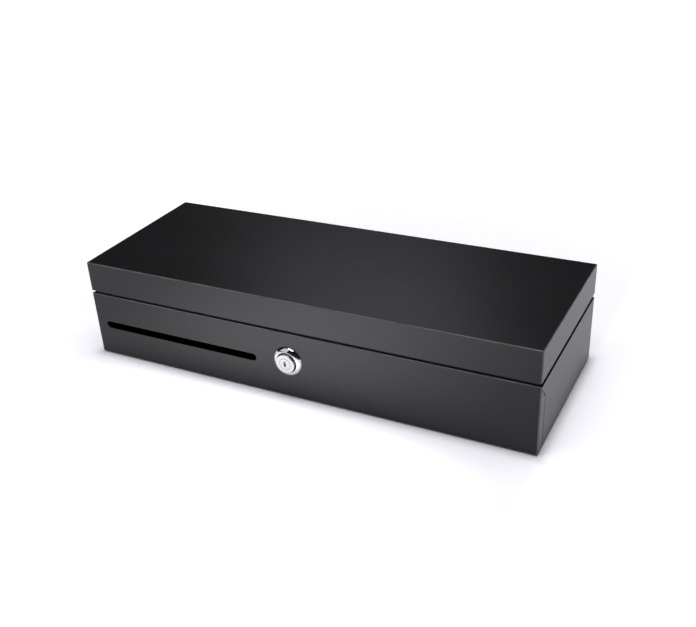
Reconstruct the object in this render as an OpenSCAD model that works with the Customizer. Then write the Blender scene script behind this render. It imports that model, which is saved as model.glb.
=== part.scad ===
// Flip-top cash drawer: a folded steel base with a hinged steel lid, a key lock, a solenoid
// latch, a coin till and an upright note till. Millimetres, +Z up, the front faces -Y, and the
// origin is the centre of the footprint on the surface that the rubber feet stand on.

/* [Cabinet] */
// Width of the steel cabinet
body_w = 460; // [440:1:560]
// Depth of the steel cabinet, front face to back face
body_d = 170; // [160:1:210]
// Height of the steel cabinet with its lid shut, without the feet
body_h = 100; // [96:1:124]
// Height of the rubber feet
feet_h = 2; // [2:0.5:6]
// Radius of a rubber foot
foot_r = 8; // [6:0.5:12]
// How far a foot's centre stands in from the side and back faces
foot_inset = 22; // [16:1:32]
// Thickness of the sheet steel
sheet = 1.2; // [1:0.1:1.5]
// Height of the lid's front and side skirts
lid_skirt = 30.5; // [28:0.5:34]
// Open seam between the lid and the base
seam_gap = 3; // [2.5:0.5:4]
// How much each of the two edges along the sides stands back from the seam
side_relief = 0.8; // [0:0.1:1.2]
// How far the rim behind the seam is set back from the outer face
joggle = 2.5; // [2.3:0.1:3.5]
// Height of that rim above the base's top edge
rim_h = 9.5; // [6:0.5:12]
// Depth of the front panel's tabs, which lap round on to the sides
tab_d = 12.5; // [8:0.5:18]
// Distance from the base's top edge down to where a tab's corner starts to slant
tab_drop = 15.5; // [14:0.5:24]
// Rise of that slant for each millimetre of depth
tab_slope = 1.125; // [0.9:0.025:1.2]
// Open joint between sheets that meet edge to edge
sheet_joint = 0.3; // [0.2:0.1:0.5]

/* [Slot] */
// Length of the cheque slot in the front panel
slot_w = 178; // [150:1:184]
// Height of the slot
slot_h = 7.6; // [5:0.1:12]
// Distance from the cabinet's left face to the slot
slot_x = 12; // [12:0.5:20]
// Height of the slot's centre above the floor
slot_z = 34.9; // [28:0.1:42]

/* [Hinge] */
// Radius of the hinge pin
pin_r = 1.25; // [1:0.05:1.3]
// Radius of the hinge knuckles
knuckle_r = 2.25; // [2.1:0.05:2.4]
// Thickness of the hinge leaves
leaf_t = 1; // [0.8:0.1:1]
// Height of one hinge leaf from the pin's axis to its edge
leaf_h = 16; // [14:0.5:18]
// Distance from the hinge's end to the cabinet's side
hinge_inset = 8; // [8:0.5:14]
// Number of places along the hinge, which knuckles and springs share
knuckles = 13; // [11:2:15]
// How far the lid opens, in degrees
lid_open = 90; // [80:1:90]
// Radius of the torsion springs' wire
hinge_wire_r = 0.4; // [0.3:0.05:0.4]

/* [Lid stays] */
// Free height between the end of a stay arm and the lid's underside
stay_clear = 4.2; // [2:0.1:8]
// Half the width of a stay arm
arm_r = 4; // [3.5:0.1:4]
// Thickness of a stay arm
arm_t = 1.2; // [1:0.1:1.5]
// Radius of the rivets and studs
rivet_r = 1.5; // [1.2:0.1:1.6]

/* [Lock] */
// Distance of the lock's axis from the middle of the cabinet, to the left
lock_left = 5.5; // [0:0.5:12]
// Height of the lock's axis above the floor
lock_z = 39; // [38:0.5:40]
// Radius of the lock's face
lock_face_r = 9.75; // [9.5:0.05:10]
// How far the lock's face stands out of the front panel
lock_out = 6; // [4:0.5:8]
// Radius of the lock's threaded barrel
barrel_r = 9.5; // [9:0.05:9.5]
// Length of the barrel behind the front face
barrel_l = 22; // [20:0.5:22]
// Outer radius of the chrome bezel
bezel_r = 15; // [13:0.5:17]
// Height of the bezel
bezel_h = 3.6; // [2.5:0.1:4]
// Radius of the turning plug
plug_r = 5.6; // [5:0.1:6.5]
// Reach of the cam from the lock's axis
cam_l = 13.5; // [12:0.1:13.6]
// Half the width of the cam
cam_r = 4; // [3.5:0.1:4]

/* [Latch] */
// Swing of the latch hook from drawn back to engaged, in degrees
hook_swing = 18; // [17:0.5:20]
// Thickness of the hook
hook_t = 3; // [2:0.5:4]
// Radius of the hook's pivot pin
hook_pin_r = 2; // [1.5:0.1:2.2]
// Distance of the hook's plane from the lock's axis, to the right
hook_right = 23.5; // [23:0.5:24]
// Radius of the solenoid's plunger
plunger_r = 5; // [4.5:0.1:5.2]
// Radius of the solenoid's winding
coil_r = 9.5; // [8.5:0.1:9.6]
// Travel of the switch button
button_travel = 2.05; // [1.9:0.05:2.1]

/* [Tills] */
// Free height between the tills and the lid's underside
till_gap = 4.8; // [4.8:0.1:7]
// Free height between the lock's cam and the shelf over it
cam_clear = 0.7; // [0.6:0.1:4]
// Depth of the open trough in front of the coin till
trough_d = 36; // [36:0.5:40]
// Coin cups side by side
cups_x = 4; // [3:1:5]
// Rows of coin cups
cups_y = 2; // [1:1:2]
// Radius of the scooped floor of a cup
scoop_r = 16; // [8:1:20]
// Thickness of the till mouldings
till_t = 2; // [1.6:0.1:2.4]
// Thickness of a cup's wall
cup_t = 1.2; // [1:0.1:1.6]
// Note compartments side by side
bill_slots = 5; // [3:1:5]
// Thickness of a note divider
divider_t = 1.6; // [1.2:0.1:2]

/* [Mounting] */
// Distance between the mounting holes along the width
mount_w = 400; // [380:1:404]
// Distance between the mounting holes along the depth
mount_d = 100; // [80:1:104]
// Radius of a mounting hole
mount_r = 2.5; // [2:0.1:3]

/* [Hidden] */
$fn = 48;
fit = 0.05;           // radial clearance of a pin in its hole
clear = 0.4;          // clearance between moving plates
xr = body_w / 2;
yb = body_d / 2;
yf = -yb;
floor_z = feet_h + sheet;
top_z = feet_h + body_h;
lid_z = top_z - lid_skirt;
base_top = lid_z - seam_gap;
side_top = base_top - side_relief;
roof_z = top_z - sheet;
hinge_z = lid_z - seam_gap / 2;
knuckle_gap = knuckle_r + 0.2;
rim_out = joggle;                  // outer face of the rim, in from the cabinet's face
rim_in = joggle + sheet;
tab_z = base_top - tab_drop;
tab_end_z = tab_z + (tab_d - sheet) * tab_slope;

// Lid stays: both pivots lie on one circle about the hinge pin, so the arm turns exactly half
// as far as the lid. The circle is as large as leaves the shut arm room under the lid.
stay_base_a = 245;
stay_lid_a = 176;
stay_spread = stay_base_a - stay_lid_a;
stay_lean = (sin(stay_lid_a) - sin(stay_base_a)) / (2 * sin(stay_spread / 2));
stay_rise = sin(stay_base_a) + 2 * sin((stay_spread + lid_open) / 2) * stay_lean;
stay_tip = 0.6;                    // from the stud's place in the open arm to the tip's centre
stay_r = (roof_z - hinge_z - arm_r - stay_clear - stay_tip * stay_lean) / stay_rise;
stay_by = yb + stay_r * cos(stay_base_a);
stay_bz = hinge_z + stay_r * sin(stay_base_a);
stay_py = yb + stay_r * cos(stay_lid_a);
stay_pz = hinge_z + stay_r * sin(stay_lid_a);
chord_shut = 2 * stay_r * sin(stay_spread / 2);
chord_open = 2 * stay_r * sin((stay_spread + lid_open) / 2);
stay_a = atan2(stay_pz - stay_bz, stay_py - stay_by);
stay_slot_r = rivet_r + 0.1;
stay_head_t = 1;
stay_notch = stay_r + 22;          // the side rim stops this far in front of the hinge
arm_x = xr - sheet - 3 - arm_t;    // inner face of the arm, from the middle
stay_head_x = arm_x - clear - stay_head_t;

// Compartments
till_side = xr - stay_head_x + 0.7;
till_back = sheet + leaf_t + 2.3;
till_front = rim_in + 1.3;
till_top = roof_z - till_gap;
lock_x = -lock_left;
guard_l = lock_x - 26.5;           // left face of the mechanism bay
guard_r = lock_x + 35.5;           // right face of the mechanism bay
shelf_top = lock_z + norm([cam_l, cam_r]) + cam_clear + sheet;
coin_x0 = till_side - xr;
coin_x1 = guard_r - 2;
coin_y0 = yf + trough_d;
till_y1 = yb - till_back;
cup_pitch_x = (coin_x1 - coin_x0 - 2 * till_t) / cups_x;
cup_pitch_y = (till_y1 - coin_y0 - 2 * till_t) / cups_y;
cup_play = 0.6;
cup_floor_z = shelf_top + till_t;
bill_x0 = guard_r + sheet + 1.8;
bill_x1 = xr - till_side;
bill_y0 = yf + till_front;
bill_z0 = floor_z + sheet + 0.6;
bill_pitch = (bill_x1 - bill_x0 - 2 * till_t) / bill_slots;
groove_play = 0.4;
foot_flange = 8;
panel_flange = 13.8;

// Lock and its cam
barrel_end = yf + barrel_l;
cam_t = 2;
cam_y = barrel_end + 0.3;
nut_t = 4;
nut_af = 24;

// Strike
strike_t = 1.5;
strike_x = lock_x + 15;            // its side leg stands just beyond the cam's tip
strike_w = 17.5;
strike_y = yf + 29;                // front face of its back leg
strike_z = lock_z - 12;
lip_z = lock_z - cam_r - 0.5;      // top of the lip that the cam holds down
window_z0 = lock_z - 6;
window_z1 = lock_z + 6;

// Latch hook: it turns about X, and rests drawn back by hook_swing
hook_x = lock_x + hook_right;
hook_y = strike_y + 15;
hook_z = lock_z - 22;
link_up = 11.85;
plunger_z = hook_z + link_up;
link_y = hook_y + link_up * tan(hook_swing);
plunger_travel = link_up * tan(hook_swing);
frame_y0 = hook_y + 17;
frame_l = 31.5;
frame_t = 1.5;
frame_half = 11;
collar_y = link_y + 7.1;
collar_t = 1;
spring_wire_r = 0.4;

// Switch
button_z = hook_z - 8;
button_tip = hook_y + 2.13;
switch_y = hook_y + 6.4;

// Data socket
jack_x = lock_x + 4;
jack_w = 14;
jack_h = 13;
jack_z = 22;
jack_d = 19;

// Places
screw_x = [-200, -110, -20, 80, 190];
screw_y = yf + sheet + panel_flange / 2;
rivet_n = 7;
hinge_w = body_w - 2 * hinge_inset;
knuckle_l = hinge_w / knuckles;
spring_places = [3, knuckles - 4];
spring_turns = 11;

steel = "#303133";
inner_steel = "#3a3b3d";
zinc = "#b9bcc0";
chrome = "#d8dadd";
till_black = "#1e1f20";
rubber_black = "#151515";
copper = "#b8693c";

// ---- Helpers ----

// A box from its low corner to its high corner.
module block(x0, y0, z0, x1, y1, z1) {
    translate([x0, y0, z0]) cube([x1 - x0, y1 - y0, z1 - z0]);
}

// A cylinder along +X from x0 to x1.
module rod_x(x0, x1, y, z, r) {
    translate([x0, y, z]) rotate([0, 90, 0]) cylinder(r = r, h = x1 - x0);
}

// A cylinder along +Y from y0 to y1.
module rod_y(x, y0, y1, z, r) {
    translate([x, y0, z]) rotate([-90, 0, 0]) cylinder(r = r, h = y1 - y0);
}

// A turned shape about a line along +Y through (x, z), from a profile of [radius, y - y0].
module turned_y(x, y0, z) {
    translate([x, y0, z]) rotate([-90, 0, 0]) rotate_extrude() children();
}

// An outline in (y, z), extruded along +X from x0 to x1.
module plate_x(x0, x1) {
    translate([x0, 0, 0]) rotate([90, 0, 90]) linear_extrude(x1 - x0) children();
}

// The same on both sides of the middle plane.
module both_sides() {
    children();
    mirror([1, 0, 0]) children();
}

// A wire or tube of radius r swept along a list of points, with n sides. The rings keep
// the given side direction, which no stretch of the path may run along.
module swept(path, r, n, side) {
    last = len(path) - 1;
    function unit(v) = v / norm(v);
    function heading(i) = unit(path[min(i + 1, last)] - path[max(i - 1, 0)]);
    function across(i) = unit(cross(heading(i), side));
    function upward(i) = cross(across(i), heading(i));
    points = [for (i = [0:last]) for (k = [0:n - 1])
        path[i] + r * (cos(360 * k / n) * across(i) + sin(360 * k / n) * upward(i))];
    walls = [for (i = [0:last - 1]) for (k = [0:n - 1])
        [i * n + k, i * n + (k + 1) % n, (i + 1) * n + (k + 1) % n, (i + 1) * n + k]];
    first_cap = [[for (k = [n - 1:-1:0]) k]];
    last_cap = [[for (k = [0:n - 1]) last * n + k]];
    polyhedron(points, concat(walls, first_cap, last_cap), convexity = 8);
}

// ---- Base ----

// Holes for the screws that hold the front panel to the floor, in the sheet above z.
module screw_holes(z) {
    for (x = screw_x)
        translate([x, screw_y, z - 1]) cylinder(r = rivet_r + fit, h = sheet + 2);
}

module side_wall_outline() {
    polygon([
        [yf + tab_d + sheet_joint, feet_h], [yb, feet_h], [yb, side_top],
        [yf + sheet, side_top], [yf + sheet, tab_end_z + sheet_joint],
        [yf + tab_d + sheet_joint, tab_z + sheet_joint]
    ]);
}

module base_pan() {
    rim_y0 = yf + rim_in + sheet_joint;
    color(steel) difference() {
        union() {
            block(-xr, yf + tab_d + sheet_joint, feet_h, xr, yb, floor_z);
            block(sheet - xr, yf + sheet, feet_h, xr - sheet, yb, floor_z);
            block(-xr, yb - sheet, feet_h, xr, yb, hinge_z - knuckle_gap);
            both_sides() {
                plate_x(xr - sheet, xr) side_wall_outline();
                block(xr - rim_in, rim_y0, side_top - sheet, xr, yb - knuckle_r - 2, side_top);
                block(xr - rim_in, rim_y0, side_top - sheet, xr - rim_out, yb - stay_notch,
                    base_top + rim_h);
            }
        }
        // The side walls' top corners stop short of the hinge.
        block(-xr - 1, yb - knuckle_gap, hinge_z - knuckle_gap, xr + 1, yb + 1, base_top + 1);
        for (x = [-mount_w / 2, mount_w / 2]) for (y = [-mount_d / 2, mount_d / 2])
            translate([x, y, feet_h - 1]) cylinder(r = mount_r, h = sheet + 2);
        screw_holes(feet_h);
        block(jack_x - jack_w / 2 - 0.2, yb - sheet - 1, jack_z - jack_h / 2 - 0.2,
            jack_x + jack_w / 2 + 0.2, yb + 1, jack_z + jack_h / 2 + 0.2);
        rivet_holes(hinge_z - leaf_h * 0.62);
    }
}

module front_panel() {
    slot_x0 = slot_x - xr;
    color(steel) difference() {
        union() {
            block(-xr, yf, feet_h, xr, yf + sheet, base_top);
            both_sides() plate_x(xr - sheet, xr) polygon([
                [yf + sheet / 2, feet_h], [yf + tab_d, feet_h], [yf + tab_d, tab_z],
                [yf + sheet, tab_end_z], [yf + sheet / 2, tab_end_z]
            ]);
            // The top edge is folded in and up again, behind the seam.
            block(sheet - xr, yf, base_top - sheet, xr - sheet, yf + rim_in, base_top);
            block(rim_out - xr, yf + rim_out, base_top - sheet, xr - rim_out, yf + rim_in,
                base_top + rim_h);
            block(2 * sheet - xr, yf, floor_z, xr - 2 * sheet, yf + sheet + panel_flange,
                floor_z + sheet);
        }
        rod_y(slot_x0 + slot_h / 2, yf - 1, yf + sheet + 1, slot_z, slot_h / 2);
        rod_y(slot_x0 + slot_w - slot_h / 2, yf - 1, yf + sheet + 1, slot_z, slot_h / 2);
        block(slot_x0 + slot_h / 2, yf - 1, slot_z - slot_h / 2,
            slot_x0 + slot_w - slot_h / 2, yf + sheet + 1, slot_z + slot_h / 2);
        rod_y(lock_x, yf - 1, yf + sheet + 1, lock_z, barrel_r + 0.1);
        screw_holes(floor_z);
    }
}

module panel_screws() {
    head_h = feet_h - 0.5;
    color(zinc) for (x = screw_x) translate([x, screw_y, 0.5]) difference() {
        union() {
            cylinder(r = 2.9, h = head_h);
            translate([0, 0, head_h]) cylinder(r = rivet_r, h = 2 * sheet + 0.4);
        }
        for (a = [0, 90]) rotate([0, 0, a]) translate([-1.8, -0.3, -1]) cube([3.6, 0.6, 1.7]);
    }
}

module rubber_feet() {
    color(rubber_black) for (x = [foot_inset - xr, xr - foot_inset])
        for (y = [yf + foot_inset, yb - foot_inset]) translate([x, y, 0]) rotate_extrude()
            polygon([[0, 0], [foot_r - 0.6, 0], [foot_r, 0.6], [foot_r, feet_h], [0, feet_h]]);
}

module tray_support() {
    plate_z = shelf_top - sheet;
    x0 = coin_x0;
    y0 = yf + rim_in + 0.3;
    leg_y = yf + sheet + panel_flange + 1;
    color(inner_steel) difference() {
        union() {
            block(x0, y0, plate_z, guard_r + sheet, till_y1, shelf_top);
            for (x = [x0, guard_l - sheet, guard_r]) {
                block(x, y0, floor_z + sheet + 0.2, x + sheet, till_y1, plate_z + sheet / 2);
                block(x, leg_y, floor_z, x + sheet, till_y1, floor_z + 2 * sheet);
            }
            block(x0, leg_y, floor_z, x0 + foot_flange, till_y1, floor_z + sheet);
            block(guard_l - foot_flange, leg_y, floor_z, guard_l, till_y1, floor_z + sheet);
            block(guard_r, leg_y, floor_z, guard_r + foot_flange, till_y1, floor_z + sheet);
        }
        // Reach-through to the space under the coin till.
        block(x0 + 12, coin_y0 + 10, plate_z - 1, guard_l - 12, till_y1 - 12, shelf_top + 1);
        // The strike passes here.
        block(lock_x + 8, yf + 7, plate_z - 1, guard_r - 1.5, coin_y0, shelf_top + 1);
    }
}

// ---- Tills ----

module coin_tray() {
    color(till_black) difference() {
        block(coin_x0, coin_y0, shelf_top, coin_x1, till_y1, till_top);
        block(coin_x0 + till_t, coin_y0 + till_t, cup_floor_z, coin_x1 - till_t, till_y1 - till_t,
            till_top + 1);
        // Finger notches in the two end walls.
        rod_x(coin_x0 - 1, coin_x0 + till_t + 1, (coin_y0 + till_y1) / 2, till_top + 6, 16);
        rod_x(coin_x1 - till_t - 1, coin_x1 + 1, (coin_y0 + till_y1) / 2, till_top + 6, 16);
    }
}

module coin_cup(i) {
    column = (i - 1) % cups_x;
    row = floor((i - 1) / cups_x);
    w = cup_pitch_x - cup_play;
    d = cup_pitch_y - cup_play;
    h = till_top - 0.6 - cup_floor_z;
    in_d = d - 2 * cup_t;
    in_h = h - cup_t;
    x0 = coin_x0 + till_t + column * cup_pitch_x + cup_play / 2;
    y0 = coin_y0 + till_t + row * cup_pitch_y + cup_play / 2;
    color(till_black) translate([x0, y0, cup_floor_z]) difference() {
        cube([w, d, h]);
        // The floor curves up at the front and the back, so coins slide out under a finger.
        plate_x(cup_t, w - cup_t) union() {
            translate([cup_t, cup_t + scoop_r]) square([in_d, in_h - scoop_r + 1]);
            translate([cup_t + scoop_r, cup_t]) square([in_d - 2 * scoop_r, scoop_r + 1]);
            translate([cup_t + scoop_r, cup_t + scoop_r]) circle(r = scoop_r);
            translate([cup_t + in_d - scoop_r, cup_t + scoop_r]) circle(r = scoop_r);
        }
        // A dip in the front edge.
        rod_y(w / 2, -1, cup_t + 1, h + 8, 14);
    }
}

module bill_tray() {
    floor_in = bill_z0 + till_t;
    color(till_black) difference() {
        union() {
            difference() {
                block(bill_x0, bill_y0, bill_z0, bill_x1, till_y1, till_top);
                block(bill_x0 + till_t, bill_y0 + till_t, floor_in, bill_x1 - till_t,
                    till_y1 - till_t, till_top + 1);
            }
            // Pairs of ribs hold a divider at every half compartment.
            for (k = [1:2 * bill_slots - 1]) {
                x = bill_x0 + till_t + k * bill_pitch / 2;
                for (s = [-1, 1]) {
                    rib_x = x + s * (divider_t + groove_play) / 2 + (s < 0 ? -1.2 : 0);
                    block(rib_x, bill_y0 + 1, floor_in - 1, rib_x + 1.2, bill_y0 + till_t + 3,
                        till_top - 4);
                    block(rib_x, till_y1 - till_t - 3, floor_in - 1, rib_x + 1.2, till_y1 - 1,
                        till_top - 4);
                }
            }
            for (y = [bill_y0 + 30, till_y1 - 20])
                block(bill_x0 + 12, y, floor_z, bill_x1 - 12, y + 4, bill_z0 + 1);
        }
        rod_x(bill_x0 - 1, bill_x0 + till_t + 1, (bill_y0 + till_y1) / 2, till_top + 6, 22);
        rod_x(bill_x1 - till_t - 1, bill_x1 + 1, (bill_y0 + till_y1) / 2, till_top + 6, 22);
    }
}

module bill_divider(i) {
    x = bill_x0 + till_t + i * bill_pitch;
    color(till_black) difference() {
        block(x - divider_t / 2, bill_y0 + till_t + 0.5, bill_z0 + till_t + 0.2,
            x + divider_t / 2, till_y1 - till_t - 0.5, till_top - 5);
        rod_x(x - divider_t, x + divider_t, (bill_y0 + till_y1) / 2, till_top + 4, 26);
    }
}

// ---- Lock ----

module lock_bezel() {
    in_r = lock_face_r + 0.15;
    color(chrome) turned_y(lock_x, yf - bezel_h, lock_z) polygon([
        [in_r, 0.9], [in_r + 0.8, 0.2], [in_r + 1.6, 0], [bezel_r - 2.2, 0.5],
        [bezel_r - 0.8, 1.5], [bezel_r, 3], [bezel_r, bezel_h], [in_r, bezel_h]
    ]);
}

module lock_body() {
    bore = plug_r + fit;
    color(zinc) turned_y(lock_x, yf - lock_out, lock_z) polygon([
        [bore, 0.3], [bore + 0.3, 0], [lock_face_r - 0.7, 0], [lock_face_r, 0.7],
        [lock_face_r, lock_out], [barrel_r, lock_out], [barrel_r, lock_out + barrel_l],
        [bore, lock_out + barrel_l]
    ]);
}

module lock_nut() {
    color(zinc) translate([lock_x, yf + sheet, lock_z]) rotate([-90, 0, 0]) difference() {
        cylinder(r = nut_af / 2 / cos(30), h = nut_t, $fn = 6);
        translate([0, 0, -1]) cylinder(r = barrel_r + fit, h = nut_t + 2);
    }
}

module lock_plug() {
    tail = cam_y + cam_t;
    color(chrome) difference() {
        union() {
            rod_y(lock_x, yf - lock_out, barrel_end + 0.2, lock_z, plug_r);
            rod_y(lock_x, barrel_end, tail, lock_z, 3);
        }
        block(lock_x - 0.7, yf - lock_out - 1, lock_z - 3, lock_x + 0.7, yf - lock_out + 12,
            lock_z + 3);
        rod_y(lock_x, yf - lock_out - 1, yf - lock_out + 0.6, lock_z, 1.5);
    }
}

module lock_cam() {
    color(zinc) translate([lock_x, cam_y, lock_z]) rotate([-90, 0, 0]) difference() {
        union() {
            cylinder(r = 6.5, h = cam_t);
            translate([-cam_r, -cam_l, 0]) cube([2 * cam_r, cam_l, cam_t]);
        }
        translate([0, 0, -1]) cylinder(r = 3 + fit, h = cam_t + 2);
    }
}

module cam_screw() {
    color(zinc) difference() {
        rod_y(lock_x, cam_y + cam_t, cam_y + cam_t + 2, lock_z, 4.6);
        block(lock_x - 3, cam_y + cam_t + 1.2, lock_z - 0.5, lock_x + 3, cam_y + cam_t + 3,
            lock_z + 0.5);
    }
}

// ---- Latch ----

// Turns its child, drawn in the engaged pose, back to the rest pose.
module drawn_back() {
    translate([0, hook_y, hook_z]) rotate([-hook_swing, 0, 0]) translate([0, -hook_y, -hook_z])
        children();
}

module latch_bracket() {
    ear_gap = hook_t / 2 + 1.2;
    ear_t = 1.5;
    color(zinc) difference() {
        union() {
            block(hook_x - 12, hook_y - 9, floor_z, hook_x + 9.5, frame_y0 + frame_l + 6,
                floor_z + sheet);
            for (x = [hook_x - ear_gap - ear_t, hook_x + ear_gap]) {
                block(x, hook_y - 6, floor_z + sheet / 2, x + ear_t, hook_y + 6, hook_z);
                rod_x(x, x + ear_t, hook_y, hook_z, 6);
            }
        }
        rod_x(hook_x - 8, hook_x + 8, hook_y, hook_z, hook_pin_r + fit);
    }
}

module latch_pivot_pin() {
    half = hook_t / 2 + 3.5;
    color(zinc) {
        rod_x(hook_x - half, hook_x + half, hook_y, hook_z, hook_pin_r);
        rod_x(hook_x - half - 1, hook_x - half, hook_y, hook_z, hook_pin_r + 1.2);
        rod_x(hook_x + half, hook_x + half + 1, hook_y, hook_z, hook_pin_r + 1.2);
    }
}

module latch_hook() {
    nose_z = window_z0 + 1;
    color(zinc) drawn_back() difference() {
        union() {
            plate_x(hook_x - hook_t / 2, hook_x + hook_t / 2) polygon([
                [hook_y - 4, hook_z - 10], [hook_y + 4, hook_z - 10], [hook_y + 4, nose_z + 5.5],
                [hook_y - 12.5, nose_z + 5.5], [hook_y - 16.5, nose_z + 1.5],
                [hook_y - 16.5, nose_z], [hook_y - 4, nose_z]
            ]);
            rod_x(hook_x - hook_t / 2, hook_x + hook_t / 2, hook_y, hook_z, 5);
        }
        rod_x(hook_x - hook_t, hook_x + hook_t, hook_y, hook_z, hook_pin_r + fit);
        // The slot that the plunger's pin works in.
        rod_x(hook_x - hook_t, hook_x + hook_t, hook_y, hook_z + link_up - 0.3, 1.65);
        rod_x(hook_x - hook_t, hook_x + hook_t, hook_y, hook_z + link_up + 0.9, 1.65);
        block(hook_x - hook_t, hook_y - 1.65, hook_z + link_up - 0.3, hook_x + hook_t,
            hook_y + 1.65, hook_z + link_up + 0.9);
    }
}

module plunger() {
    front = link_y - 4.5;
    color(zinc) difference() {
        union() {
            rod_y(hook_x, front, frame_y0 + 23, plunger_z, plunger_r);
            rod_y(hook_x, collar_y, collar_y + collar_t, plunger_z, plunger_r + 2.2);
        }
        block(hook_x - hook_t / 2 - 0.25, front - 1, plunger_z - plunger_r - 1,
            hook_x + hook_t / 2 + 0.25, collar_y - 0.3, plunger_z + plunger_r + 1);
        rod_x(hook_x - plunger_r - 1, hook_x + plunger_r + 1, link_y, plunger_z, 1.5 + fit);
    }
}

module link_pin() {
    color(zinc) rod_x(hook_x - plunger_r - 0.6, hook_x + plunger_r + 0.6, link_y, plunger_z, 1.5);
}

module return_spring() {
    turns = 4;
    steps = 20;
    r = plunger_r + spring_wire_r + 0.5;
    y0 = collar_y + collar_t + spring_wire_r + 0.05;
    y1 = frame_y0 - spring_wire_r - 0.05;
    path = [for (i = [0:turns * steps]) let (a = 360 * i / steps)
        [hook_x + r * cos(a), y0 + (y1 - y0) * i / (turns * steps), plunger_z + r * sin(a)]];
    color(chrome) swept(path, spring_wire_r, 6, [0, 1, 0]);
}

module solenoid_frame() {
    x0 = hook_x - frame_half;
    x1 = hook_x + frame_half;
    top = plunger_z + frame_half;
    back = frame_y0 + frame_l;
    color(zinc) difference() {
        union() {
            block(x0, frame_y0, floor_z + sheet, x1 - 1.5, frame_y0 + frame_t, top);
            block(x0, back - frame_t, floor_z + sheet, x1 - 1.5, back, top);
            block(x0, frame_y0, top - frame_t, x1 - 1.5, back, top);
        }
        rod_y(hook_x, frame_y0 - 1, frame_y0 + frame_t + 1, plunger_z, plunger_r + 0.08);
    }
}

module coil_bobbin() {
    y0 = frame_y0 + frame_t;
    y1 = frame_y0 + frame_l - frame_t;
    flange = 1.2;
    color("#2a4a35") difference() {
        union() {
            rod_y(hook_x, y0, y1, plunger_z, plunger_r + 1.1);
            rod_y(hook_x, y0, y0 + flange, plunger_z, coil_r - 0.2);
            rod_y(hook_x, y1 - flange, y1, plunger_z, coil_r - 0.2);
        }
        rod_y(hook_x, y0 - 1, y1 - 3, plunger_z, plunger_r + 0.08);
    }
}

module coil_winding() {
    flange = 1.25;
    y0 = frame_y0 + frame_t + flange;
    y1 = frame_y0 + frame_l - frame_t - flange;
    color(copper) difference() {
        rod_y(hook_x, y0, y1, plunger_z, coil_r - 0.8);
        rod_y(hook_x, y0 - 1, y1 + 1, plunger_z, plunger_r + 1.15);
    }
}

module switch_body() {
    color("#1b1c1e") difference() {
        block(hook_x - 10, switch_y, floor_z + sheet, hook_x + 9, switch_y + 9, button_z + 2.6);
        block(hook_x - 1.7, switch_y - 1, button_z - 1.2, hook_x + 1.7, switch_y + 6,
            button_z + 1.2);
    }
}

module switch_button() {
    color("#a03028") block(hook_x - 1.5, button_tip, button_z - 1, hook_x + 1.5,
        switch_y + 3.5, button_z + 1);
}

// ---- Wiring ----

module data_socket() {
    y0 = yb - jack_d;
    color("#26282a") difference() {
        union() {
            block(jack_x - jack_w / 2, y0, jack_z - jack_h / 2, jack_x + jack_w / 2, yb + 0.4,
                jack_z + jack_h / 2);
            block(jack_x - jack_w / 2 - 2, yb - sheet - 1.2, jack_z - jack_h / 2 - 2,
                jack_x + jack_w / 2 + 2, yb - sheet, jack_z + jack_h / 2 + 2);
        }
        block(jack_x - 5, yb - 14, jack_z - 3.6, jack_x + 5, yb + 1, jack_z + 3.6);
        block(jack_x - 3, yb - 14, jack_z - 5, jack_x + 3, yb + 1, jack_z - 3);
    }
}

module wire_loom() {
    r = 1.8;
    x = jack_x;
    y = yb - jack_d;
    z = floor_z;
    y_end = frame_y0 + frame_l;
    path = [
        [x, y, jack_z], [x, y - 4, jack_z], [x, y - 8, jack_z - 1.5], [x + 1, y - 12, z + 13],
        [x + 2, y - 16, z + 8], [x + 4, y - 21, z + 4.5], [x + 7, y - 27, z + 3.4],
        [x + 11, (y + y_end) / 2, z + 3.4], [x + 15, y_end + 15, z + 4],
        [hook_x - 1, y_end + 10, z + 7], [hook_x, y_end + 6, z + 10.5], [hook_x, y_end + 3, z + 11.5],
        [hook_x, y_end, z + 11.5]
    ];
    color("#202122") swept(path, r, 8, [1, 0, 0]);
}

// ---- Hinge ----

module rivet_holes(z) {
    for (i = [0:rivet_n - 1])
        rod_y(rivet_x(i), yb - sheet - leaf_t - 1, yb + 1, z, rivet_r + fit);
}

function rivet_x(i) = (i - (rivet_n - 1) / 2) * (hinge_w - 40) / (rivet_n - 1);

function is_spring_place(i) = i == spring_places[0] || i == spring_places[1];

// One leaf: up is 1 for the lid's and -1 for the base's, and first is its first knuckle.
module hinge_leaf(up, first) {
    y0 = yb - sheet - leaf_t;
    y1 = yb - sheet;
    near = hinge_z + up * knuckle_gap;
    far = hinge_z + up * leaf_h;
    color(zinc) difference() {
        union() {
            block(-hinge_w / 2, y0, min(near, far), hinge_w / 2, y1, max(near, far));
            for (i = [first:2:knuckles - 1]) if (!is_spring_place(i)) {
                x0 = -hinge_w / 2 + i * knuckle_l + 0.1;
                x1 = x0 + knuckle_l - 0.2;
                rod_x(x0, x1, yb, hinge_z, knuckle_r);
                block(x0, y0, min(hinge_z, near), x1, y1, max(hinge_z, near));
            }
        }
        rod_x(-xr, xr, yb, hinge_z, pin_r + fit);
        rivet_holes(hinge_z + up * leaf_h * 0.62);
    }
}

module hinge_leaf_base() {
    hinge_leaf(-1, 0);
}

module hinge_leaf_lid() {
    hinge_leaf(1, 1);
}

module hinge_pin() {
    color(chrome) rod_x(-hinge_w / 2 - 0.5, hinge_w / 2 + 0.5, yb, hinge_z, pin_r);
}

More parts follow.
